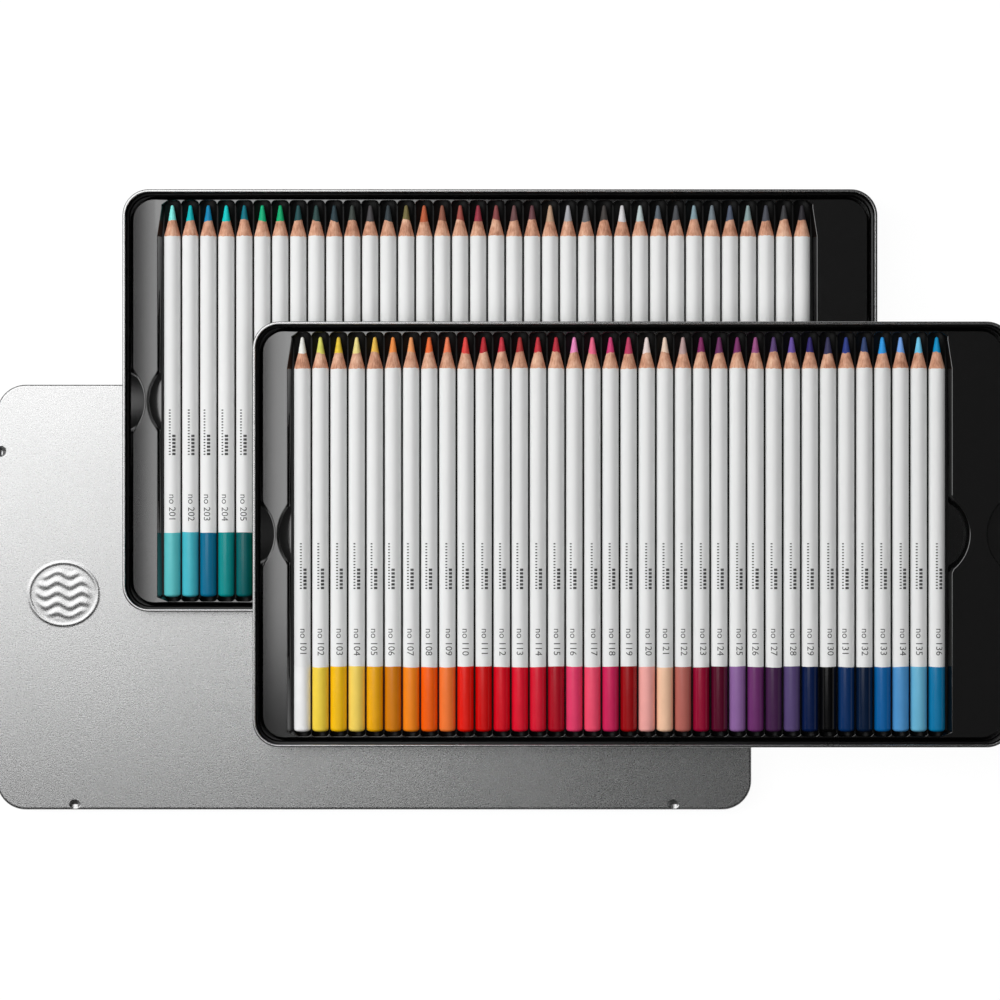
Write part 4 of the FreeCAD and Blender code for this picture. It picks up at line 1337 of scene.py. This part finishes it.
def make_floor():
    material = bpy.data.materials.new("white_table")
    material.use_nodes = True
    tree = material.node_tree
    tree.nodes.clear()
    matt = add_node(tree, "ShaderNodeBsdfDiffuse", {"Color": TABLE_WHITE})
    glow = add_node(tree, "ShaderNodeEmission", {"Color": WHITE, "Strength": FLOOR_GLOW})
    part = {0: seen_directly(tree), 1: FLOOR_SEEN}
    seen = add_node(tree, "ShaderNodeMath", part, operation="MULTIPLY").outputs[0]
    both = {"Fac": seen, 1: matt.outputs[0], 2: glow.outputs[0]}
    mix = add_node(tree, "ShaderNodeMixShader", both)
    add_node(tree, "ShaderNodeOutputMaterial", {"Surface": mix.outputs[0]})
    corners = [(x, y, 0.0) for x, y in square(FLOOR_HALF)]
    add_panel("floor", corners, [(0, 1, 2, 3)], material)


def make_tent():
    """Walls and a ceiling of dark cloth. The walls' lower part has a painted glow that stands in for light
    from the table.
    """
    cloth = (0.02, 0.02, 0.02, 1.0)
    material, tree, shader = new_material("dark_cloth", base_color=cloth, emission_color=WHITE)
    # Painted glow: an emission that fades out up the walls, standing in for light from the table.
    place = add_node(tree, "ShaderNodeTexCoord").outputs["Object"]
    height = add_node(tree, "ShaderNodeSeparateXYZ", {0: place}).outputs["Z"]
    low, high = TENT_PAINTED_GLOW_FADE
    fade = {"Value": height, "From Min": low, "From Max": high, "To Min": TENT_PAINTED_GLOW, "To Max": 0.0}
    glow = add_node(tree, "ShaderNodeMapRange", fade).outputs[0]
    tree.links.new(glow, shader.inputs["Emission Strength"])
    material.cycles.emission_sampling = "NONE"
    corners = [(x, y, z) for z in (TENT_FOOT, TENT_HEIGHT) for x, y in square(TENT_HALF)]
    faces = [(0, 4, 5, 1), (1, 5, 6, 2), (2, 6, 7, 3), (3, 7, 4, 0), (4, 7, 6, 5)]
    tent = add_panel("tent", corners, faces, material)
    tent.visible_camera = False
    tent.visible_diffuse = False
    tent.visible_transmission = False
    tent.visible_shadow = False


def make_world():
    world = bpy.data.worlds.new("studio")
    world.use_nodes = True
    tree = world.node_tree
    tree.nodes.clear()
    levels = {"Value": seen_directly(tree), "To Min": BACKDROP_LIGHT, "To Max": 1.0}
    level = add_node(tree, "ShaderNodeMapRange", levels).outputs[0]
    backdrop = add_node(tree, "ShaderNodeBackground", {"Color": WHITE, "Strength": level})
    add_node(tree, "ShaderNodeOutputWorld", {"Surface": backdrop.outputs[0]})
    bpy.context.scene.world = world


def add_lamp(name, place, target, size, radiance, shows=True):
    """A soft rectangular lamp of an even radiance, that may be left out of reflections."""
    light = bpy.data.lights.new(name, type="AREA")
    light.shape = "RECTANGLE"
    light.size, light.size_y = size
    light.energy = math.pi * size[0] * size[1] * radiance
    lamp = bpy.data.objects.new(name, light)
    lamp.location = place
    lamp.rotation_euler = (Vector(target) - Vector(place)).to_track_quat("-Z", "Y").to_euler()
    lamp.visible_camera = False
    lamp.visible_glossy = shows
    bpy.context.scene.collection.objects.link(lamp)


def add_camera():
    data = bpy.data.cameras.new("camera")
    data.lens = CAMERA_LENS
    data.sensor_width = CAMERA_SENSOR
    data.clip_end = CAMERA_REACH
    camera = bpy.data.objects.new("camera", data)
    camera.location = (*CAMERA_PLACE, CAMERA_HEIGHT)
    bpy.context.scene.collection.objects.link(camera)
    bpy.context.scene.camera = camera


make_floor()
make_tent()
make_world()
OVERHEAD = {"place": (-1.03, 0.815, 2.2), "target": (-1.03, 0.815, 0.0), "size": (1.94, 1.97)}
KEY = {"place": (-1.6, 0.3, 1.1), "target": (0.0, 0.0, 0.0), "size": (1.2, 0.9)}
FILL = {"place": (0.0, 0.0, 2.3), "target": (0.0, 0.0, 0.0), "size": (4.0, 4.0)}
add_lamp("overhead", **OVERHEAD, radiance=1.62)
add_lamp("key", **KEY, radiance=5.6, shows=False)
add_lamp("fill", **FILL, radiance=0.68, shows=False)
add_camera()
bpy.context.scene.view_settings.view_transform = "Standard"
